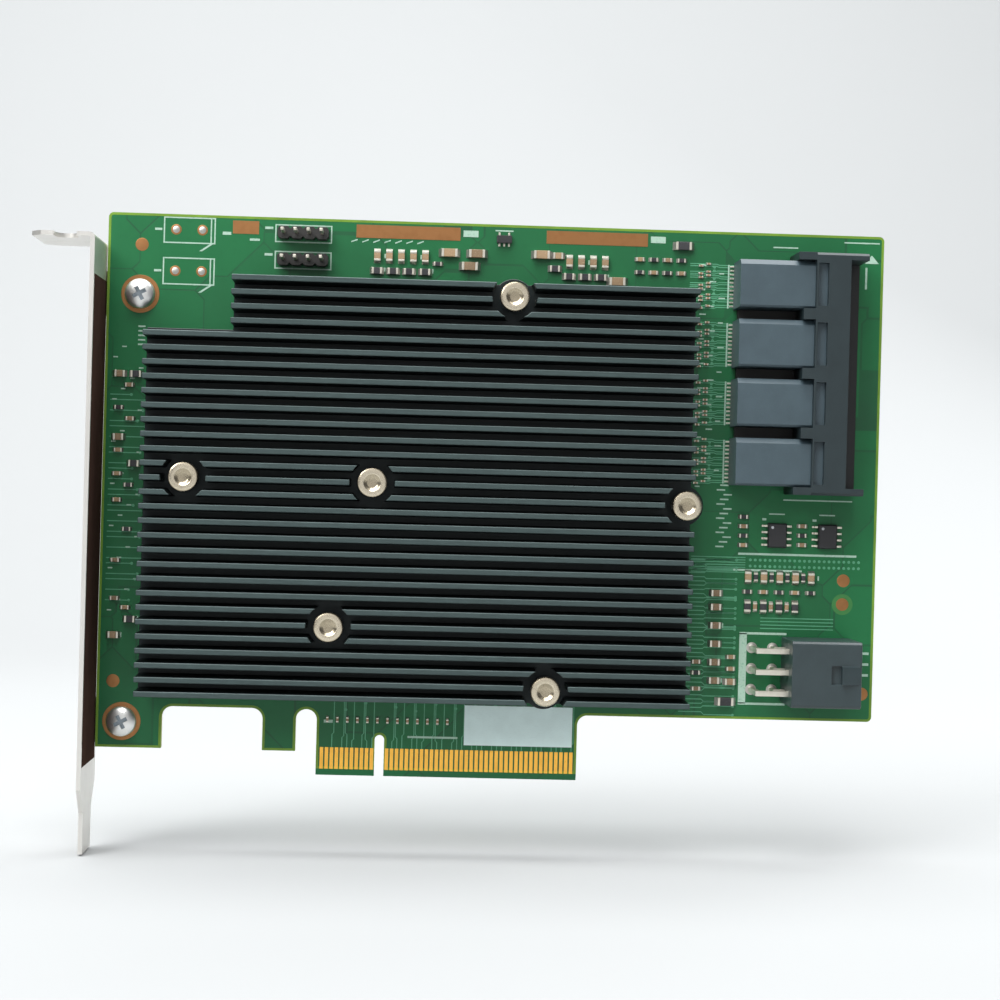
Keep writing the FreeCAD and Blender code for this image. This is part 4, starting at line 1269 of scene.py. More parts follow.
@dataclass
class Board:
    """The circuit board, its bare margin and its open pads."""

    margin: float = 0.5
    front_facing: float = 0.99
    land_hole: float = 1.7
    land_edge: float = 0.04
    land_flats: int = 48
    pad_flats: int = 32
    hole_flats: int = 24
    test_pad: float = 1.3
    test_pad_edge: float = 0.1
    left_test_pads: tuple[Point, ...] = ((6.7, 6.25), (3.2, 93.25))
    right_test_pads: tuple[Point, ...] = ((6.45, 69.65), (6.55, 74.45), (2.15, 92.45))
    ringed_pad: int = 1
    clearance: float = 2.12
    clearance_edge: float = 0.02
    clearance_height: float = 0.01
    footprint_pad: float = 1.05
    footprint_edge: float = 0.06
    footprint_inset: float = 13.4
    footprint_pitch: float = 5.2
    footprint_drops: tuple[float, ...] = (3.05, 11.3)
    dome: tuple[Point, ...] = ((0, 0.16), (0.4, 0.13), (0.7, PAD_HEIGHT), (0.7, 0))
    box: Box = field(default_factory=lambda: node_box("circuit_board"))

    def build(self) -> None:
        """Dresses the board and adds its margin, its bare copper and its filled holes."""
        dress("circuit_board", MASK)
        self.build_margin()
        self.build_strips()
        self.build_pads()
        self.build_fills()

    def footprints(self) -> list[Point]:
        """Middles of the two open two-hole footprints."""
        x = self.box.left + self.footprint_inset + self.footprint_pitch / 2
        return [(x, self.box.top - drop) for drop in self.footprint_drops]

    def holes(self) -> list[Point]:
        """Middles of the footprints' holes."""
        half = self.footprint_pitch / 2
        return [(x + way * half, z) for x, z in self.footprints() for way in (-1, 1)]

    def build_margin(self) -> None:
        """Strip along the outline where no copper lies under the mask."""
        copy = merged_copy("circuit_board")
        front = [f for f in copy.faces if f.normal.y < -self.front_facing]
        inside = set(front)
        rim = [e for f in front for e in f.edges if sum(g in inside for g in e.link_faces) == 1]
        shape = Shape()
        height = INK_HEIGHT / 2
        lift = Vector((0, -height * MM, 0))
        face = shape.bm.faces.new([shape.bm.verts.new(place + lift) for place in self.outer_loop(rim)])
        copy.free()
        shape.bm.normal_update()
        bmesh.ops.inset_region(
            shape.bm, faces=[face], thickness=self.margin * MM, use_boundary=True, use_even_offset=True,
        )
        bmesh.ops.delete(shape.bm, geom=[face], context="FACES")
        shape.thicken(list(shape.bm.faces), -height)
        add_piece("board_margin", shape, MARGIN, "solder_mask")

    @staticmethod
    def outer_loop(rim: Sequence[bmesh.types.BMEdge]) -> list[Vector]:
        """Widest closed loop among edges.

        Args:
            rim: Edges of one or more closed loops.

        Returns:
            The loop's points in order.
        """
        links: dict[bmesh.types.BMVert, list[bmesh.types.BMVert]] = {}
        for edge in rim:
            a, b = edge.verts
            links.setdefault(a, []).append(b)
            links.setdefault(b, []).append(a)
        loops = []
        seen: set[bmesh.types.BMVert] = set()
        for first in links:
            loop = []
            here = None if first in seen else first
            while here is not None:
                seen.add(here)
                loop.append(here.co.copy())
                here = next((v for v in links[here] if v not in seen), None)
            if loop:
                loops.append(loop)
        return max(loops, key=lambda loop: max(p.x for p in loop) - min(p.x for p in loop))

    def build_strips(self) -> None:
        """Bare copper strips along the top edge and lands under the bracket screws."""
        strips = copper_strips()
        bare = Shape()
        for box in solids("copper_pads"):
            if box in strips:
                bare.block(box)
                continue
            rim = box.width / 2
            hole = [(self.land_hole, 0), (self.land_hole, box.high)]
            bare.lathe(box.x, box.z, [*hole, (rim - self.land_edge, box.high), (rim, 0)], self.land_flats)
        add_piece("strips_and_lands", bare, COPPER, "copper", ["copper_pads"])

    def build_pads(self) -> None:
        """Round test pads, one of them in a clear ring, and the rings of the open footprints."""
        left = [(self.box.left + inset, self.box.top - drop) for inset, drop in self.left_test_pads]
        right = [(self.box.right - inset, self.box.top - drop) for inset, drop in self.right_test_pads]
        pads = Shape()
        for place in left + right:
            pads.disc(place, self.test_pad, self.test_pad_edge, (0, PAD_HEIGHT), self.pad_flats)
        for place in self.holes():
            pads.disc(place, self.footprint_pad, self.footprint_edge, (0, PAD_HEIGHT), self.hole_flats)
        add_piece("test_pads", pads, COPPER, "copper")
        clear = Shape()
        heights = (0, self.clearance_height)
        clear.disc(right[self.ringed_pad], self.clearance, self.clearance_edge, heights, self.pad_flats)
        add_piece("pad_clearance", clear, CLEARANCE, "solder_mask")

    def build_fills(self) -> None:
        """Solder that fills the holes of the open footprints."""
        fills = Shape()
        for place in self.holes():
            fills.lathe(*place, self.dome, self.hole_flats)
        add_piece("filled_holes", fills, SOLDER, "tin")


@dataclass
class Etching:
    """Coated traces and vias of one face."""

    side: Side
    width: float = 0.2
    via_radius: float = 0.3
    via_flats: int = 10
    via_section: tuple[Point, ...] = ((0.0, 0.25), (0.4, 0.25), (0.5, 1.0), (0.85, 1.0), (1.0, 0.0))
    lines: Shape = field(default_factory=Shape)
    vias: list[Point] = field(default_factory=list)

    def trace(self, path: Sequence[Point], run: Run = Run.ALONG) -> None:
        """Adds one trace through points along and up the card."""
        low, high = sorted((off(self.side, 0), off(self.side, TRACE_HEIGHT)))
        self.lines.ribbon(path, self.width, low, high, run)

    def finish(self, traces: str, vias: str) -> None:
        """Turns the traces and the vias into pieces.

        Args:
            traces: Name of the traces.
            vias: Name of the vias.
        """
        add_piece(traces, self.lines, TRACE, "solder_mask")
        lift = self.side.value * PAD_HEIGHT
        section = [(radius * self.via_radius, height * lift) for radius, height in self.via_section]
        via = Shape()
        via.lathe(0, 0, section, self.via_flats)
        placed = Shape()
        placed.stamp(via, [(x, off(self.side, 0), z) for x, z in self.vias])
        add_piece(vias, placed, TRACE, "solder_mask")


@dataclass(frozen=True)
class Lanes:
    """Signal pairs of one port."""

    pairs: int = 8
    pitch: float = 1.15
    gap: float = 0.42

    def middles(self, port: Box) -> list[float]:
        """Middle of each pair, up the card."""
        return spaced(port.z, self.pairs, self.pitch)


@dataclass
class FrontTraces:
    """Traces on the component face and the tiny capacitors on the port lanes.

    Rows are given by their first line, their last one and the pitch. A swing, reach or skip ends with the
    rate at which it changes up the card.
    """

    lanes: Lanes = Lanes()
    tuck: float = 0.6
    lane_start: float = 0.3
    lane_bend: float = 4.9
    bend_step: float = 0.4
    bend_length: float = 0.5
    lane_jog: float = 0.2
    lane_via: float = 4.3
    lane_caps: Span = (1.6, 3.1)
    cap_fillet: float = 0.3
    fan_rows: Triple = (14.4, 45.8, 0.85)
    fan_swing: Span = (0.6, 2.1)
    fan_bend: float = 4.0
    fan_reach: float = 10.4
    power_rows: Triple = (1.6, 4.4, 0.7)
    power_ends: Span = (-4.4, 10.4)
    left_rows: Triple = (34.0, 77.0, 1.05)
    left_inset: float = 1.2
    left_reach: Triple = (4.0, 3.2, 1.3)
    left_skip: Span = (-0.3, 3.7)
    rise_start: float = 0.1
    rise_jog: float = 0.35
    rise_bend: Span = (1.4, 0.6)
    rise_end: float = 16.6
    rise_via: Span = (14.6, 0.7)
    chip_vias: int = 23
    chip_via_start: float = 3.2
    chip_via_drops: tuple[float, ...] = (2.55, 3.8)
    chip_rows: Triple = (5.1, 1.7, 0.5)
    chip_ends: Span = (1.2, 4.2)
    etching: Etching = field(default_factory=lambda: Etching(Side.COMPONENT))
    board: Box = field(default_factory=lambda: node_box("circuit_board"))

    def build(self) -> None:
        """Draws the traces between the heat sink and the connectors, and up from the edge contacts."""
        self.lane_traces()
        self.fan_traces()
        self.power_traces()
        self.left_traces()
        self.contact_traces()
        self.chip_traces()
        self.etching.finish("coated_traces", "front_vias")

    def lane_traces(self) -> None:
        """Pairs from the ports to the heat sink, with a capacitor in each line."""
        caps = SmallParts("lane", Side.COMPONENT, self.cap_fillet)
        right = fin_end()
        for port in port_boxes():
            for lane, middle in enumerate(self.lanes.middles(port)):
                jog = self.lane_jog if lane % 2 else -self.lane_jog
                bend = right + self.lane_bend + self.bend_step * (lane % 3)
                for way, inset in zip((-0.5, 0.5), self.lane_caps):
                    z = middle + way * self.lanes.gap
                    end = [(bend - self.bend_length, z + jog), (right - self.tuck, z + jog)]
                    self.etching.trace([(port.left + self.lane_start, z), (bend, z), *end])
                    caps.add(right + inset, z + jog, LANE, Run.ALONG, CAP)
                self.etching.vias.append((right + self.lane_via, middle - jog))
        caps.finish()

    def fan_traces(self) -> None:
        """Lines that leave the lower part of the heat sink."""
        right = fin_end()
        low, high, step = self.fan_rows
        swing, rate = self.fan_swing
        bend = right + self.fan_bend
        for z in steps(self.board.bottom + low, high, step):
            jog = swing * math.sin(z * rate)
            end = (right + self.fan_reach, z + jog)
            self.etching.trace([(right - self.tuck, z), (bend, z), (bend + abs(jog), z + jog), end])
            self.etching.vias.append(end)

    def power_traces(self) -> None:
        """Lines above the power header."""
        power = node_box("power_housing")
        low, high, step = self.power_rows
        left, right = self.power_ends
        for z in steps(power.top + low, power.top + high, step):
            self.etching.trace([(power.left + left, z), (power.left + right, z)])

    def left_traces(self) -> None:
        """Short lines along the left edge, with gaps."""
        start = self.board.left + self.left_inset
        least, more, rate = self.left_reach
        skip_below, skip_rate = self.left_skip
        for z in steps(*self.left_rows):
            if math.sin(z * skip_rate) > skip_below:
                end = (start + (least + more * abs(math.sin(z * rate))), z)
                self.etching.trace([(start, z), end])
                self.etching.vias.append(end)

    def contact_traces(self) -> None:
        """Lines up from most of the edge contacts."""
        bend, bend_step = self.rise_bend
        via, via_step = self.rise_via
        for index, pad in enumerate(solids("edge_contacts_front")):
            if index % 4 == 3 or pad.left < TONGUE_NOTCH_END:
                continue
            jog = self.rise_jog * (-1) ** index
            rise = pad.top + bend + bend_step * (index % 3)
            start = [(pad.x, pad.top - self.rise_start), (pad.x, rise)]
            end = [(pad.x + jog, rise + abs(jog)), (pad.x + jog, self.rise_end)]
            self.etching.trace(start + end, Run.UPRIGHT)
            if index % 2:
                self.etching.vias.append((pad.x + jog, via - via_step * (index % 3)))

    def chip_traces(self) -> None:
        """Two rows of vias and a band of lines below the small chips."""
        chip = chip_boxes()[0]
        for drop in self.chip_via_drops:
            start = chip.left - self.chip_via_start
            self.etching.vias += [(start + i, chip.bottom - drop) for i in range(self.chip_vias)]
        low, high, step = self.chip_rows
        inset, gap = self.chip_ends
        for z in steps(chip.bottom - low, chip.bottom - high, step):
            self.etching.trace([(fin_end() + inset, z), (chip.left - gap, z)])


@dataclass
class BackTraces:
    """Via fields, traces and small capacitors on the solder face.

    A jog, reach or start of two numbers grows by the second from line to line.
    """

    lanes: Lanes = Lanes()
    via_inset: float = 1.2
    via_pitch: float = 2.0
    cap_columns: int = 5
    cap_rows: int = 4
    cap_pitch: float = 4.0
    rise_start: float = 0.1
    rise_bends: Span = (9.0, 12.0)
    bend_step: float = 0.15
    rise_jog: Span = (3.0, 0.5)
    rise_reach: Span = (24.0, 0.45)
    lane_start: Span = (2.0, 0.6)
    lane_bends: Span = (7.0, 8.0)
    lane_drop: float = 1.0
    lane_reach: float = 16.0
    etching: Etching = field(default_factory=lambda: Etching(Side.SOLDER))

    def build(self) -> None:
        """Draws the fields behind the chips, then the traces of the contacts and of the ports."""
        caps = SmallParts("back", Side.SOLDER)
        for name in CONTROLLERS:
            self.chip_field(node_box(f"{name}_chip"), caps)
        self.contact_traces()
        self.lane_traces()
        caps.finish()
        self.etching.finish("back_traces", "back_vias")

    def chip_field(self, chip: Box, caps: SmallParts) -> None:
        """Adds the vias and capacitors behind one chip.

        Args:
            chip: Box of the chip.
            caps: Rows that take the capacitors.
        """
        offsets = [self.via_inset + self.via_pitch * i for i in range(int(chip.width / self.via_pitch))]
        self.etching.vias += [(chip.left + dx, chip.bottom + dz) for dx in offsets for dz in offsets]
        for i, x in enumerate(spaced(chip.x, self.cap_columns, self.cap_pitch)):
            for j, z in enumerate(spaced(chip.z, self.cap_rows, self.cap_pitch)):
                caps.add(x, z, TINY, Run.ALONG if (i + j) % 2 else Run.UPRIGHT, CAP)

    def contact_traces(self) -> None:
        """Lines up from most of the edge contacts."""
        jog_start, jog_step = self.rise_jog
        reach_start, reach_step = self.rise_reach
        for index, pad in enumerate(solids("edge_contacts_back")):
            x = pad.x - (jog_start + jog_step * (index % 4))
            if index % 3 == 2 or x < TONGUE_NOTCH_END:
                continue
            low, high = (bend + self.bend_step * index for bend in self.rise_bends)
            end = (x, reach_start + reach_step * index)
            start = [(pad.x, pad.top - self.rise_start), (pad.x, low)]
            self.etching.trace([*start, (x, high), end], Run.UPRIGHT)
            self.etching.vias.append(end)

    def lane_traces(self) -> None:
        """Lines that leave the ports."""
        inset, inset_step = self.lane_start
        near, far = self.lane_bends
        for port in port_boxes():
            for lane, z in enumerate(self.lanes.middles(port)):
                x = port.left + inset + inset_step * (lane % 3)
                end = (x - self.lane_reach, z - self.lane_drop)
                self.etching.trace([(x, z), (x - near, z), (x - far, z - self.lane_drop), end])
                self.etching.vias += [(x, z), end]


@dataclass(frozen=True)
class Mark:
    """Printed stroke along the card: its ends and its rise from a point, and its width."""

    start: float
    end: float
    rise: float = 0.0
    width: float = INK_LINE


@dataclass(frozen=True)
class MarkColumn:
    """Column of short strokes that step to and fro between a number of places, some strides at a time."""

    count: int
    pitch: float
    inset: float
    length: float
    width: float = INK_LINE
    shift: float = 0.0
    stride: int = 1
    places: int = 1
    longer: float = 0.0


@dataclass
class Silkscreen:
    """Bare printed outlines and strokes on the component face."""

    frame_x: Span = (5.1, 5.2)
    frame_z: Span = (2.75, 2.7)
    frame_clear: float = 0.55
    frame_bar: float = 1.0
    frame_mark: Mark = Mark(-1.7, -0.3, 0.0, 0.45)
    frame_tail: tuple[Point, ...] = ((-3.2, -1.45), (-2.6, -1.45), (-0.5, 0.0), (-1.1, 0.0))
    header_gap: Span = (0.6, 0.55)
    header_mark: Mark = Mark(-2.6, -1.0, 1.0, 0.5)
    strip_start: Mark = Mark(-2.0, -0.3, 0.0, 0.6)
    strip_end: Mark = Mark(-1.8, 0.2, -1.1, 0.45)
    strip_bar: Mark = Mark(0.6, 3.6, 0.15, 1.3)
    regulator_mark: Span = (0.3, 1.0)
    tilts: int = 7
    tilt_start: float = -1.0
    tilt_pitch: float = 2.2
    tilt: tuple[Point, ...] = ((0.0, -1.0), (1.3, -0.5), (1.3, -0.25), (0.0, -0.75))
    port_left: Mark = Mark(-3.4, 1.6, 1.9)
    port_right: Mark = Mark(-3.0, 4.2, 3.3)
    port_arrow: tuple[Point, ...] = ((1.2, -0.8), (4.1, -0.8), (2.65, 0.9))
    port_shaft: Mark = Mark(1.4, 1.8, -3.8, 4.4)
    port_below: float = 1.1
    port_bar: Span = (1.2, 0.9)
    port_bar_inset: float = 0.4
    chip_top: Mark = Mark(-1.6, 1.6, 1.8)
    chip_first: Mark = Mark(-1.0, -0.2, 0.7, 0.45)
    chip_lines: tuple[Mark, Mark] = (Mark(-5.7, 4.2, -1.35, 0.42), Mark(-6.6, 3.4, -4.6, 0.36))
    power_inset: float = 2.0
    power_bar: float = 1.5
    power_gap: float = 0.55
    power_overlap: float = 1.0
    power_line: float = 0.45
    power_marks: tuple[Mark, ...] = tuple(Mark(2.3, 4.0, -3.0 - 2.2 * i, 0.5) for i in range(3))
    body_marks: tuple[tuple[str, Mark], ...] = (
        ("capacitor_bodies", Mark(0.75, 1.05, 0.0, 0.9)), ("resistor_bodies", Mark(0.75, 1.05, 0.25, 0.9)),
    )
    lane_rise: float = 1.2
    lane_marks: MarkColumn = MarkColumn(28, 1.65, 1.5, 1.0, shift=1.9, stride=7, places=3, longer=0.3)
    left_rise: float = 32.0
    left_marks: MarkColumn = MarkColumn(26, 2.1, 1.6, 0.9, shift=1.7, stride=5, places=4)
    upper_rise: float = 85.0
    upper_marks: MarkColumn = MarkColumn(5, 0.9, 6.4, 1.4, 0.3)
    chip_marks: MarkColumn = MarkColumn(14, 0.95, 6.0, 1.7, 0.3, shift=0.7, places=3)
    tongue_marks: tuple[Mark, ...] = (Mark(5.6, 15.6, 8.0, 0.4), Mark(-11.2, -9.4, 10.8, 0.6))
    shape: Shape = field(default_factory=Shape)
    box: Box = field(default_factory=lambda: node_box("circuit_board"))

    def build(self) -> None:
        """Prints all marks as one piece."""
        self.print_footprints()
        self.print_headers()
        self.print_strips()
        self.print_receptacle()
        self.print_chips()
        self.print_power()
        self.print_small()
        add_piece("silkscreen", self.shape, INK, "label_paper")

    def bar(self, x: Span, z: Span) -> None:
        """Prints a filled rectangle."""
        self.shape.block(slab(Side.COMPONENT, x, z, INK_HEIGHT))

    def stroke(self, x: Span, z: float, width: float = INK_LINE) -> None:
        """Prints a line along the card."""
        self.bar(x, (z - width / 2, z + width / 2))

    def mark(self, x: float, z: float, mark: Mark) -> None:
        """Prints a mark from a point."""
        self.stroke((x + mark.start, x + mark.end), z + mark.rise, mark.width)

    def form(self, x: float, z: float, corners: Iterable[Point]) -> None:
        """Prints a filled form, given by its corners from a point."""
        self.shape.plate([(x + dx, z + dz) for dx, dz in corners], 0, INK_HEIGHT)

    def outline(self, x: Span, z: Span) -> None:
        """Prints the outline of a rectangle."""
        self.shape.frame_lines(slab(Side.COMPONENT, x, z, INK_HEIGHT), INK_LINE)

    def column(self, x: float, z: float, marks: MarkColumn) -> None:
        """Prints a column of strokes.

        Args:
            x: Place along the card that the inset starts from.
            z: Rise of the first stroke.
            marks: The column.
        """
        for i in range(marks.count):
            start = x + marks.inset + marks.shift * (marks.stride * i % marks.places)
            end = start + marks.length + marks.longer * (i % 2)
            self.stroke((start, end), z + marks.pitch * i, marks.width)

    def print_footprints(self) -> None:
        """Frames about the two open footprints, with a mark at one end and a tail at the other."""
        for x, z in Board().footprints():
            left, right = x - self.frame_x[0], x + self.frame_x[1]
            low, high = z - self.frame_z[0], min(z + self.frame_z[1], self.box.top - self.frame_clear)
            self.outline((left, right), (low, high))
            bar = right - self.frame_bar
            self.bar((bar, bar + INK_LINE), (low + INK_LINE, high - INK_LINE))
            self.mark(left, z, self.frame_mark)
            self.form(right, low, self.frame_tail)

    def print_headers(self) -> None:
        """Outlines of the pin headers and a stroke beside each."""
        beside, above = self.header_gap
        for number in (1, 2):
            base = node_box(f"header_base_{number}")
            self.outline((base.left - beside, base.right + beside), (base.bottom - above, base.top + above))
            self.mark(base.left, base.z, self.header_mark)

    def print_strips(self) -> None:
        """Strokes and bars about the copper strips, and a line above the regulator."""
        first, second, third = copper_strips()
        self.mark(first.left, first.bottom, self.strip_start)
        self.mark(first.right, first.bottom, self.strip_end)
        for strip in (second, third):
            self.mark(strip.right, strip.z, self.strip_bar)
        regulator = node_box("regulator_body")
        beside, above = self.regulator_mark
        self.stroke((regulator.left - beside, regulator.right + beside), regulator.top + above)
        for i in range(self.tilts):
            self.form(second.left + self.tilt_start + self.tilt_pitch * i, second.bottom, self.tilt)

    def print_receptacle(self) -> None:
        """Strokes about the receptacle and the mark of its first contact."""
        shroud = node_box("port_shroud")
        self.mark(shroud.left, shroud.top, self.port_left)
        self.mark(shroud.right, shroud.top, self.port_right)
        self.form(shroud.right, shroud.top, self.port_arrow)
        self.mark(shroud.right, shroud.top, self.port_shaft)
        self.stroke((shroud.left, shroud.right), shroud.bottom - self.port_below)
        for port in port_boxes():
            left, right = (port.left - gap for gap in self.port_bar)
            self.bar((left, right), (port.bottom + self.port_bar_inset, port.top - self.port_bar_inset))

    def print_chips(self) -> None:
        """Strokes and first-pin marks of the small chips, and two long lines below them."""
        chips = chip_boxes()
        for chip in chips:
            self.mark(chip.x, chip.top, self.chip_top)
            self.mark(chip.left, chip.top, self.chip_first)
        for line, end in zip(self.chip_lines, (chips[1].right, chips[0].right)):
            ends = (chips[0].left + line.start, end + line.end)
            self.stroke(ends, chips[0].bottom + line.rise, line.width)

    def print_power(self) -> None:
        """Frame about the power header's tails and strokes beside its front."""
        housing = node_box("power_housing")
        left = node_box("power_pins").left - self.power_inset
        ends = (housing.bottom - self.power_gap, housing.top + self.power_gap)
        self.bar((left, left + self.power_bar), ends)
        for z in ends:
            self.stroke((left, housing.left + self.power_overlap), z, self.power_line)
        for mark in self.power_marks:
            self.mark(housing.right, housing.top, mark)

    def print_small(self) -> None:
        """Strokes beside the rows of small parts and on the tongue."""
        for node, mark in self.body_marks:
            for body in solids(node)[::3]:
                self.mark(body.right, body.z, mark)
        self.column(fin_end(), node_box("port_shroud").bottom + self.lane_rise, self.lane_marks)
        self.column(self.box.left, self.left_rise, self.left_marks)
        self.column(self.box.left, self.upper_rise, self.upper_marks)
        self.column(fin_end(), chip_boxes()[0].bottom, self.chip_marks)
        for mark in self.tongue_marks:
            self.mark(0.0, 0.0, mark)


@dataclass
class EdgeContacts:
    """The gold contacts on both sides of the tongue."""

    def build(self) -> None:
        """Dresses both rows."""
        dress("edge_contacts_front", GOLD)
        dress("edge_contacts_back", GOLD)


@dataclass
class Bracket:
    """The slot bracket and its two screws."""

    edge: float = 0.12
    screw_flats: int = 48
    head_rise: float = 0.75
    head_edge: float = 0.08
    dome_step: int = 10
    shank_share: float = 0.48
    tip_edge: float = 0.3
    recess_arm: float = 1.45
    recess_turn: float = 28.0
    recess_width: float = 0.8
    recess_depth: float = 1.0
    recess_clear: float = 1.0
    floor_half: float = 0.05

    def build(self) -> None:
        """Rounds the sheet's edges, turns the screws, cuts their recesses and lays painted shade in them."""
        sheet = Shape.softened("bracket", self.edge)
        add_piece("slot_bracket", sheet, BRACKET_STEEL, "bracket_steel", ["bracket"])
        screws, cross, shade_floors = Shape(), Shape(), Shape()
        for box in solids("bracket_screws"):
            self.turn(screws, box)
            bottom = box.high - self.recess_depth
            cross.plate(self.cross(box), bottom, box.high + self.recess_clear)
            # Each floor plate is darker steel that paints the shade at the bottom of its recess.
            shade_floors.plate(self.cross(box), bottom - self.floor_half, bottom + self.floor_half)
        heads = add_piece("pan_head_screws", screws, SCREW_STEEL, "bright_steel", ["bracket_screws"])
        carve(heads, cross)
        add_piece("recess_shade_floors", shade_floors, RECESS_SHADE_STEEL, "bright_steel")

    def turn(self, shape: Shape, box: Box) -> None:
        """Adds one domed screw.

        Args:
            shape: Shape that takes it.
            box: Box of the screw's solid.
        """
        radius = box.width / 2
        shank = self.shank_share * radius
        seat = PAD_HEIGHT
        rim = seat + self.head_rise
        dome = [
            (radius * math.sin(turn), rim + (box.high - rim) * math.cos(turn))
            for turn in (math.radians(angle) for angle in range(0, 91, self.dome_step))
        ]
        foot = [(radius, seat + self.head_edge), (radius - self.head_edge, seat), (shank, seat)]
        tip = [(shank, box.low + self.tip_edge), (shank - self.tip_edge, box.low), (0, box.low)]
        shape.lathe(box.x, box.z, dome + foot + tip, self.screw_flats)

    def cross(self, box: Box) -> list[Point]:
        """Corners of a screw's cross recess.

        Args:
            box: Box of the screw's solid.

        Returns:
            The corners in order.
        """
        inner, outer = self.recess_width / 2, self.recess_arm
        arm = [(inner, inner), (inner, outer), (-inner, outer)]
        corners = []
        for quarter in range(4):
            angle = math.radians(self.recess_turn) + quarter * math.pi / 2
            for a, b in arm:
                x = a * math.cos(angle) - b * math.sin(angle)
                z = a * math.sin(angle) + b * math.cos(angle)
                corners.append((box.x + x, box.z + z))
        return corners


@dataclass
class HeatSink:
    """The finned heat sink."""

    edge: float = 0.14
    sharper_than: float = 50.0

    def build(self) -> None:
        """Rounds the edges of the fins."""
        shape = Shape.softened("heat_sink", self.edge, 1, self.sharper_than)
        add_piece("finned_heat_sink", shape, ANODISED, "black_anodised", ["heat_sink"])


@dataclass
class PushPins:
    """Sprung pins that hold the heat sink down."""

    flats: int = 48
    dish: tuple[Point, ...] = ((0, 0.5), (0.9, 0.5), (1.2, 0.42), (1.6, 0.1), (1.8, 0.0))
    rim: float = 0.45
    rim_cut: float = 0.13
    head_edge: float = 0.1
    barb: Span = (1.9, 1.85)
    tip: Span = (1.0, 0.8)
    tip_edge: float = 0.15
    wire: float = 0.5
    turns: float = 3.5
    turn_flats: int = 24

    def build(self) -> None:
        """Turns the pins and winds their springs."""
        pins, springs = Shape(), Shape()
        for box in solids("push_pins"):
            self.turn(pins, box)
        add_piece("turned_push_pins", pins, PIN_METAL, "pin_metal", ["push_pins"])
        for box in solids("pin_springs"):
            springs.coil(box, self.wire, self.turns, self.turn_flats)
        add_piece("coil_springs", springs, SPRING_WIRE, "spring_steel", ["pin_springs"])

    def turn(self, shape: Shape, box: Box) -> None:
        """Adds one pin with a dished head and a barbed tip.

        Args:
            shape: Shape that takes it.
            box: Box of the pin's solid.
        """
        head, top = box.width / 2, box.high
        shank, seat = head / 2, node_box("pin_springs").high
        back = off(Side.SOLDER, 0)
        dish = [(radius, top - depth) for radius, depth in self.dish]
        rim = [(head - self.rim, top), (head - self.rim_cut, top - self.rim_cut), (head, top - self.rim)]
        foot = [(head, seat + self.head_edge), (head - self.head_edge, seat), (shank, seat), (shank, back)]
        barb = [(self.barb[0], back), (self.barb[1], back - self.tip_edge)]
        tip = [(self.tip[0], box.low + self.tip_edge), (self.tip[1], box.low), (0, box.low)]
        shape.lathe(box.x, box.z, dish + rim + foot + barb + tip, self.flats)


@dataclass
class ChipStack:
    """The lidded chips under the heat sink and their pads."""

    def build(self) -> None:
        """Dresses the chips and their pads."""
        for name in CONTROLLERS:
            dress(f"{name}_chip", CHIP_LID)
            dress(f"{name}_pad", THERMAL_PAD)


@dataclass
class Receptacle:
    """The ganged cable receptacle with its contacts and solder tails."""

    edge: float = 0.14
    slot_heights: tuple[float, ...] = (3.5, 7.1)
    slot_half: float = 0.65
    contact_count: int = 10
    contact_pitch: float = 0.75
    contact_width: float = 0.32
    contact_edge: float = 0.04
    contact_rise: float = 0.22
    contact_reach: Span = (-1.7, -0.15)
    web_reach: Span = (0.8, 12.6)
    web_height: float = 1.6
    tail_count: int = 11
    tail_pitch: float = 0.8
    tail_height: float = 0.16
    tail_reach: Span = (-0.8, 0.2)

    def build(self) -> None:
        """Rounds the mouldings and fills the card slots."""
        shroud = Shape.softened("port_shroud", self.edge)
        add_piece("ganged_shroud", shroud, SHROUD_PLASTIC, "connector_plastic", ["port_shroud"])
        contacts, tails, gap_webs = Shape(), Shape(), Shape()
        ports = port_boxes()
        for number, port in enumerate(ports, 1):
            node = f"port_block_{number}"
            block = Shape.softened(node, self.edge)
            add_piece(f"contact_block_{number}", block, PORT_PLASTIC, "connector_plastic", [node])
            self.fill_slots(contacts, port)
            reach = tuple(port.left + dx for dx in self.tail_reach)
            self.row(tails, reach, (0, self.tail_height), spaced(port.z, self.tail_count, self.tail_pitch))
        # Low webs between the blocks; their near-black colour is painted shade for the gaps.
        for upper, lower in zip(ports, ports[1:]):
            reach = tuple(lower.left + dx for dx in self.web_reach)
            gap_webs.block(Box(*reach, 0, self.web_height, lower.top, upper.bottom))
        add_piece("gap_shade_webs", gap_webs, HEADER_PLASTIC, "connector_plastic")
        add_piece("card_slot_contacts", contacts, GOLD, "gold")
        add_piece("receptacle_tails", tails, TIN, "tin")

    def fill_slots(self, shape: Shape, port: Box) -> None:
        """Adds the contacts on both walls of a port's card slots.

        Args:
            shape: Shape that takes them.
            port: Box of the port's block.
        """
        reach = tuple(port.right + dx for dx in self.contact_reach)
        rises = spaced(port.z, self.contact_count, self.contact_pitch)
        for height in self.slot_heights:
            for way in (-1, 1):
                wall = height + way * self.slot_half
                self.row(shape, reach, sorted((wall, wall - way * self.contact_rise)), rises)

    def row(self, shape: Shape, reach: Span, heights: Sequence[float], rises: Iterable[float]) -> None:
        """Adds a row of flat contacts.

        Args:
            shape: Shape that takes them.
            reach: Their ends along the card.
            heights: Their undersides and their faces.
            rises: Middle of each, up the card.
        """
        half = self.contact_width / 2
        for z in rises:
            shape.block(Box(*reach, *heights, z - half, z + half), self.contact_edge, 1)


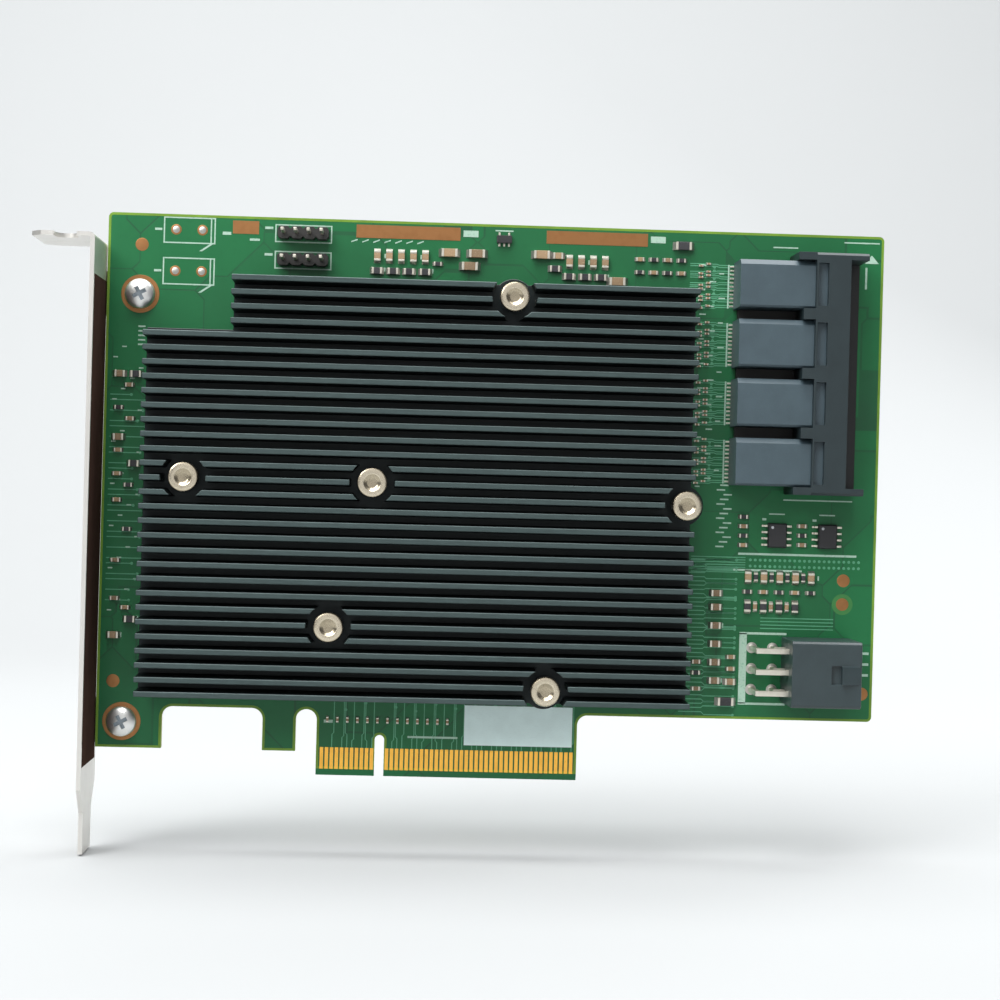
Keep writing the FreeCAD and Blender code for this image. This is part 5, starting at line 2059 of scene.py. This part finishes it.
@dataclass
class PowerHeader:
    """The right-angle power header and its solder joints."""

    edge: float = 0.14
    pin_edge: float = 0.16
    land: float = 1.1
    collar: tuple[Point, ...] = ((1.0, 0.22), (1.5, 0.09))
    cone: tuple[Point, ...] = ((1.3, 0.0), (1.2, 0.12), (0.88, 0.6), (0.74, 1.25), (0.0, 1.3))
    flats: int = 24

    def build(self) -> None:
        """Rounds the housing and the pins, and solders the tails on both faces."""
        housing = Shape.softened("power_housing", self.edge)
        add_piece("power_header_housing", housing, POWER_PLASTIC, "connector_plastic", ["power_housing"])
        pins = Shape.softened("power_pins", self.pin_edge)
        add_piece("bent_power_pins", pins, TIN, "tin", ["power_pins"])
        joints = Shape()
        cone = [(radius, off(Side.SOLDER, drop)) for radius, drop in self.cone]
        for box in solids("power_pins"):
            half = box.rise / 2
            collar = [(half * share, height) for share, height in self.collar]
            place = (box.left + half, box.z)
            joints.lathe(*place, [*collar, (self.land, PAD_HEIGHT), (self.land, 0)], self.flats)
            joints.lathe(*place, cone, self.flats)
        add_piece("power_solder_joints", joints, SOLDER, "tin")


@dataclass
class PinHeaders:
    """The two four-way pin headers and their solder joints."""

    edge: float = 0.1
    cone: tuple[Point, ...] = ((0.95, 0.0), (0.75, 0.1), (0.55, 0.5), (0.45, 0.95), (0.0, 1.0))
    flats: int = 20

    def build(self) -> None:
        """Rounds the bases and the pins, and solders the tails."""
        for number in (1, 2):
            node = f"header_base_{number}"
            base = Shape.softened(node, self.edge)
            add_piece(f"pin_header_base_{number}", base, HEADER_PLASTIC, "header_plastic", [node])
        pins = Shape.softened("header_pins", self.edge)
        add_piece("square_header_pins", pins, TIN, "gold", ["header_pins"])
        joints = Shape()
        cone = [(radius, off(Side.SOLDER, drop)) for radius, drop in self.cone]
        for box in solids("header_pins"):
            joints.lathe(box.x, box.z, cone, self.flats)
        add_piece("header_solder_joints", joints, SOLDER, "tin")


@dataclass
class LeadedParts:
    """Leaded chips, the regulator and the two-ended parts of the frame."""

    edge: float = 0.08
    fillet: float = 0.4
    fillet_rise: float = 0.6
    dot: float = 0.3
    dot_edge: float = 0.02
    dot_inset: float = 0.9
    dot_heights: Span = (-0.05, 0.015)
    dot_flats: int = 20
    looks: tuple[tuple[str, Finish, str], ...] = (
        ("small_chip_1", CHIP_PLASTIC, "chip_package"),
        ("small_chip_2", CHIP_PLASTIC, "chip_package"),
        ("small_chip_leads", TIN, "tin"),
        ("regulator_body", CHIP_PLASTIC, "chip_package"),
        ("regulator_leads", TIN, "tin"),
        ("capacitor_bodies", TAN_CERAMIC, "capacitor_tan"),
        ("resistor_bodies", DARK_CERAMIC, "resistor_black"),
        ("passive_ends", TIN, "tin"),
    )

    def build(self) -> None:
        """Rounds each body and its metal, solders the ends and dots the chips."""
        for node, finish, slot in self.looks:
            add_piece(f"rounded_{node}", Shape.softened(node, self.edge), finish, slot, [node])
        self.solder_ends()
        self.first_pin_dots()

    def beyond(self, low: float, high: float, way: float) -> Span:
        """Ends of the solder outside one of two faces."""
        face = high if way > 0 else low
        return tuple(sorted((face, face + way * self.fillet)))

    def solder_ends(self) -> None:
        """Adds a solder fillet at each plated end."""
        solder = Shape()
        bodies = [*solids("capacitor_bodies"), *solids("resistor_bodies")]
        for end in solids("passive_ends"):
            body = min(bodies, key=lambda b: math.hypot(b.x - end.x, b.z - end.z))
            x, z = (end.left, end.right), (end.bottom, end.top)
            if end.width < end.rise:
                out = (math.copysign(1, end.x - body.x), 0)
                x = self.beyond(*x, out[0])
            else:
                out = (0, math.copysign(1, end.z - body.z))
                z = self.beyond(*z, out[1])
            solder.wedge(slab(Side.COMPONENT, x, z, end.high * self.fillet_rise), out, Side.COMPONENT)
        add_piece("end_solder", solder, SOLDER, "tin")

    def first_pin_dots(self) -> None:
        """Adds the moulded dot at the first lead of each small chip."""
        dots = Shape()
        for chip in chip_boxes():
            place = (chip.left + self.dot_inset, chip.top - self.dot_inset)
            heights = tuple(chip.high + rise for rise in self.dot_heights)
            dots.disc(place, self.dot, self.dot_edge, heights, self.dot_flats)
        add_piece("first_pin_dots", dots, THERMAL_PAD, "chip_package")


Crowd = tuple[tuple[float, float, ChipSize, PartKind], ...]


@dataclass
class LooseParts:
    """Small two-ended parts that crowd about the larger ones."""

    top_crowd: Crowd = (
        (67.9, 6.05, LARGE, CAP), (73.4, 6.05, LARGE, CAP), (72.0, 8.6, LARGE, CAP), (65.6, 8.3, SMALL, RES),
        (86.4, 5.85, LARGE, CAP), (89.7, 5.95, MEDIUM, CAP), (89.1, 8.55, MEDIUM, RES),
        (101.7, 10.75, LARGE, CAP), (114.9, 3.2, LARGE, RES),
    )
    pair_count: int = 4
    pair_start: float = 106.2
    pair_pitch: float = 2.8
    pair_drops: Span = (6.1, 8.7)
    chip_pitch: float = 1.9
    chip_left: tuple[int, float, float] = (4, 4.85, 1.1)
    chip_right: tuple[int, float, float] = (3, 3.2, 0.5)
    fin_crowd: Crowd = (
        (2.7, 24.5, SMALL, CAP), (2.7, 22.3, SMALL, RES), (9.7, 25.6, SMALL, CAP), (9.7, 23.2, SMALL, CAP),
        (9.6, 20.6, MEDIUM, CAP), (2.8, 19.1, SMALL, CAP), (8.8, 16.6, LARGE, RES), (6.4, 38.4, MEDIUM, CAP),
    )
    left_crowd: Crowd = (
        (4.9, 76.9, SMALL, CAP), (2.9, 72.4, SMALL, RES), (5.2, 70.2, SMALL, CAP), (3.0, 63.9, SMALL, CAP),
        (2.9, 59.2, SMALL, CAP), (5.2, 57.0, SMALL, RES), (3.0, 54.0, SMALL, CAP), (5.1, 48.2, SMALL, RES),
        (3.0, 42.0, SMALL, CAP), (3.0, 34.4, SMALL, CAP), (5.2, 32.6, SMALL, CAP),
    )
    tongue_count: int = 13
    tongue_start: Point = (-10.5, 11.2)
    tongue_pitch: float = 2.0
    row_start: float = 6.0

    def build(self) -> None:
        """Sets out each crowd on the component face."""
        parts = SmallParts("front", Side.COMPONENT)
        board = node_box("circuit_board")
        for dx, drop, size, kind in self.top_crowd:
            parts.add(board.left + dx, board.top - drop, size, Run.ALONG, kind)
        for i in range(self.pair_count):
            x = board.left + self.pair_start + self.pair_pitch * i
            for j, drop in enumerate(self.pair_drops):
                parts.add(x, board.top - drop, SMALL, Run.ALONG, (CAP, RES)[(i + j) % 2])
        self.chip_columns(parts)
        for left, crowd in ((fin_end(), self.fin_crowd), (board.left, self.left_crowd)):
            for dx, z, size, kind in crowd:
                parts.add(left + dx, z, size, Run.ALONG, kind)
        x, z = self.tongue_start
        for i in range(self.tongue_count):
            parts.add(x + self.tongue_pitch * i, z, TINY, Run.UPRIGHT, CAP)
        self.fill_rows(parts)
        parts.finish()

    def chip_columns(self, parts: SmallParts) -> None:
        """Adds a column of parts on each side of the left small chip.

        Args:
            parts: Rows that take them.
        """
        chip = chip_boxes()[0]
        count, gap, lift = self.chip_left
        for i in range(count):
            z = chip.top + lift - self.chip_pitch * i
            parts.add(chip.left - gap, z, SMALL, Run.ALONG, (RES, CAP)[i % 2])
        count, gap, drop = self.chip_right
        for i in range(count):
            z = chip.top - drop - self.chip_pitch * i
            parts.add(chip.right + gap, z, SMALL, Run.ALONG, (CAP, RES)[i % 2])

    def fill_rows(self, parts: SmallParts) -> None:
        """Adds smaller parts between the upright ones below the small chips.

        Args:
            parts: Rows that take them.
        """
        chip = chip_boxes()[0]
        start = chip.left - self.row_start
        low = node_box("power_housing").top
        rows = []
        for node, kind in (("capacitor_bodies", RES), ("resistor_bodies", CAP)):
            row = [box for box in solids(node) if box.left > start and low < box.z < chip.bottom]
            rows.append(row)
            for first, second in zip(row, row[1:]):
                parts.add((first.x + second.x) / 2, first.z, SMALL, Run.UPRIGHT, kind)
        upper, lower = rows
        z = (upper[0].bottom + lower[0].top) / 2
        for i, box in enumerate(upper):
            parts.add(box.x, z, SMALL, Run.ALONG, (RES, CAP)[i % 2])


@dataclass
class PaperLabel:
    """The bare label on the tongue."""

    def build(self) -> None:
        """Dresses the label."""
        dress("label", PAPER)


@dataclass(frozen=True)
class Lamp:
    """A square soft lamp: its place and target in metres, the side of its face and its power in watts."""

    name: str
    place: Triple
    size: float
    power: float
    target: Triple = (0.02, 0.0, 0.055)

    def hang(self) -> None:
        """Hangs the lamp and turns it to its target."""
        data = bpy.data.lights.new(self.name, "AREA")
        data.size = self.size
        data.energy = self.power
        made = bpy.data.objects.new(self.name, data)
        made.location = self.place
        towards = Vector(self.target) - Vector(self.place)
        made.rotation_euler = towards.to_track_quat("-Z", "Y").to_euler()
        bpy.context.scene.collection.objects.link(made)


@dataclass
class Studio:
    """Camera, soft light and a pale sweep of paper; the sweep's sizes are in metres."""

    camera_place: Triple = (4.9, -423.5, 57.25)
    camera_turn: Triple = (89.824, -1.559, -2.428)
    focal_pixels: float = 2109.0
    sensor: float = 36.0
    clip_start: float = 0.01
    sweep_gap: float = 0.0004
    sweep_radius: float = 0.5
    sweep_bend: float = 0.45
    sweep_front: float = -1.6
    sweep_top: float = 2.2
    sweep_half: float = 2.2
    sweep_step: int = 5
    room: Colour = (0.92, 0.95, 1.0)
    room_strength: float = 0.16
    lamps: tuple[Lamp, ...] = (
        Lamp("key", (-0.6, -0.7, 0.65), 0.5, 7.5),
        Lamp("top", (-0.1, -0.4, 0.85), 0.5, 7.5),
        Lamp("fill", (0.1, -1.0, 0.35), 0.8, 1.2),
        Lamp("backdrop", (0.0, 0.25, 1.1), 1.2, 24.0, (0.0, 0.95, 0.25)),
        Lamp("rear", (0.5, 0.55, 0.4), 0.4, 2.0),
    )

    def build(self) -> None:
        """Sets the stage."""
        self.camera()
        self.paper()
        for lamp in self.lamps:
            lamp.hang()
        world = bpy.data.worlds.new("soft_room")
        world.use_nodes = True
        light = world.node_tree.nodes["Background"]
        light.inputs["Color"].default_value = (*self.room, 1.0)
        light.inputs["Strength"].default_value = self.room_strength
        bpy.context.scene.world = world
        bpy.context.scene.view_settings.view_transform = "Standard"

    def camera(self) -> None:
        """Stands the camera where the picture was taken from."""
        data = bpy.data.cameras.new("camera")
        data.sensor_width = self.sensor
        data.lens = self.focal_pixels / IMAGE_PIXELS * self.sensor
        data.clip_start = self.clip_start
        made = bpy.data.objects.new("camera", data)
        made.location = Vector(self.camera_place) * MM
        made.rotation_euler = Euler([math.radians(angle) for angle in self.camera_turn])
        bpy.context.scene.collection.objects.link(made)
        bpy.context.scene.camera = made

    def paper(self) -> None:
        """Hangs a seamless sweep behind and under the card."""
        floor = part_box("bracket")[0].z - self.sweep_gap
        radius, bend = self.sweep_radius, self.sweep_bend
        curve = [
            (bend + radius * math.sin(turn), floor + radius - radius * math.cos(turn))
            for turn in (math.radians(angle) for angle in range(0, 91, self.sweep_step))
        ]
        path = [(self.sweep_front, floor), *curve, (bend + radius, self.sweep_top)]
        bm = bmesh.new()
        verts = [bm.verts.new((-self.sweep_half, y, z)) for y, z in path]
        edges = [bm.edges.new(pair) for pair in zip(verts, verts[1:])]
        grown = bmesh.ops.extrude_edge_only(bm, edges=edges)["geom"]
        across = (2 * self.sweep_half, 0, 0)
        bmesh.ops.translate(bm, verts=picked(grown, bmesh.types.BMVert), vec=across)
        bmesh.ops.recalc_face_normals(bm, faces=bm.faces)
        mesh = bpy.data.meshes.new("paper_sweep")
        bm.to_mesh(mesh)
        bm.free()
        mesh.shade_smooth()
        mesh.materials.append(BACKDROP.material())
        sweep = bpy.data.objects.new("paper_sweep", mesh)
        bpy.context.scene.collection.objects.link(sweep)


def main() -> None:
    """Builds the card and its stage."""
    logging.basicConfig(level=logging.INFO, format="%(name)s %(message)s")
    parts = (
        Board(), FrontTraces(), BackTraces(), Silkscreen(), EdgeContacts(), Bracket(), HeatSink(), PushPins(),
        ChipStack(), Receptacle(), PowerHeader(), PinHeaders(), LeadedParts(), LooseParts(), PaperLabel(),
        Studio(),
    )
    for part in parts:
        part.build()


if __name__ == "__main__":
    main()
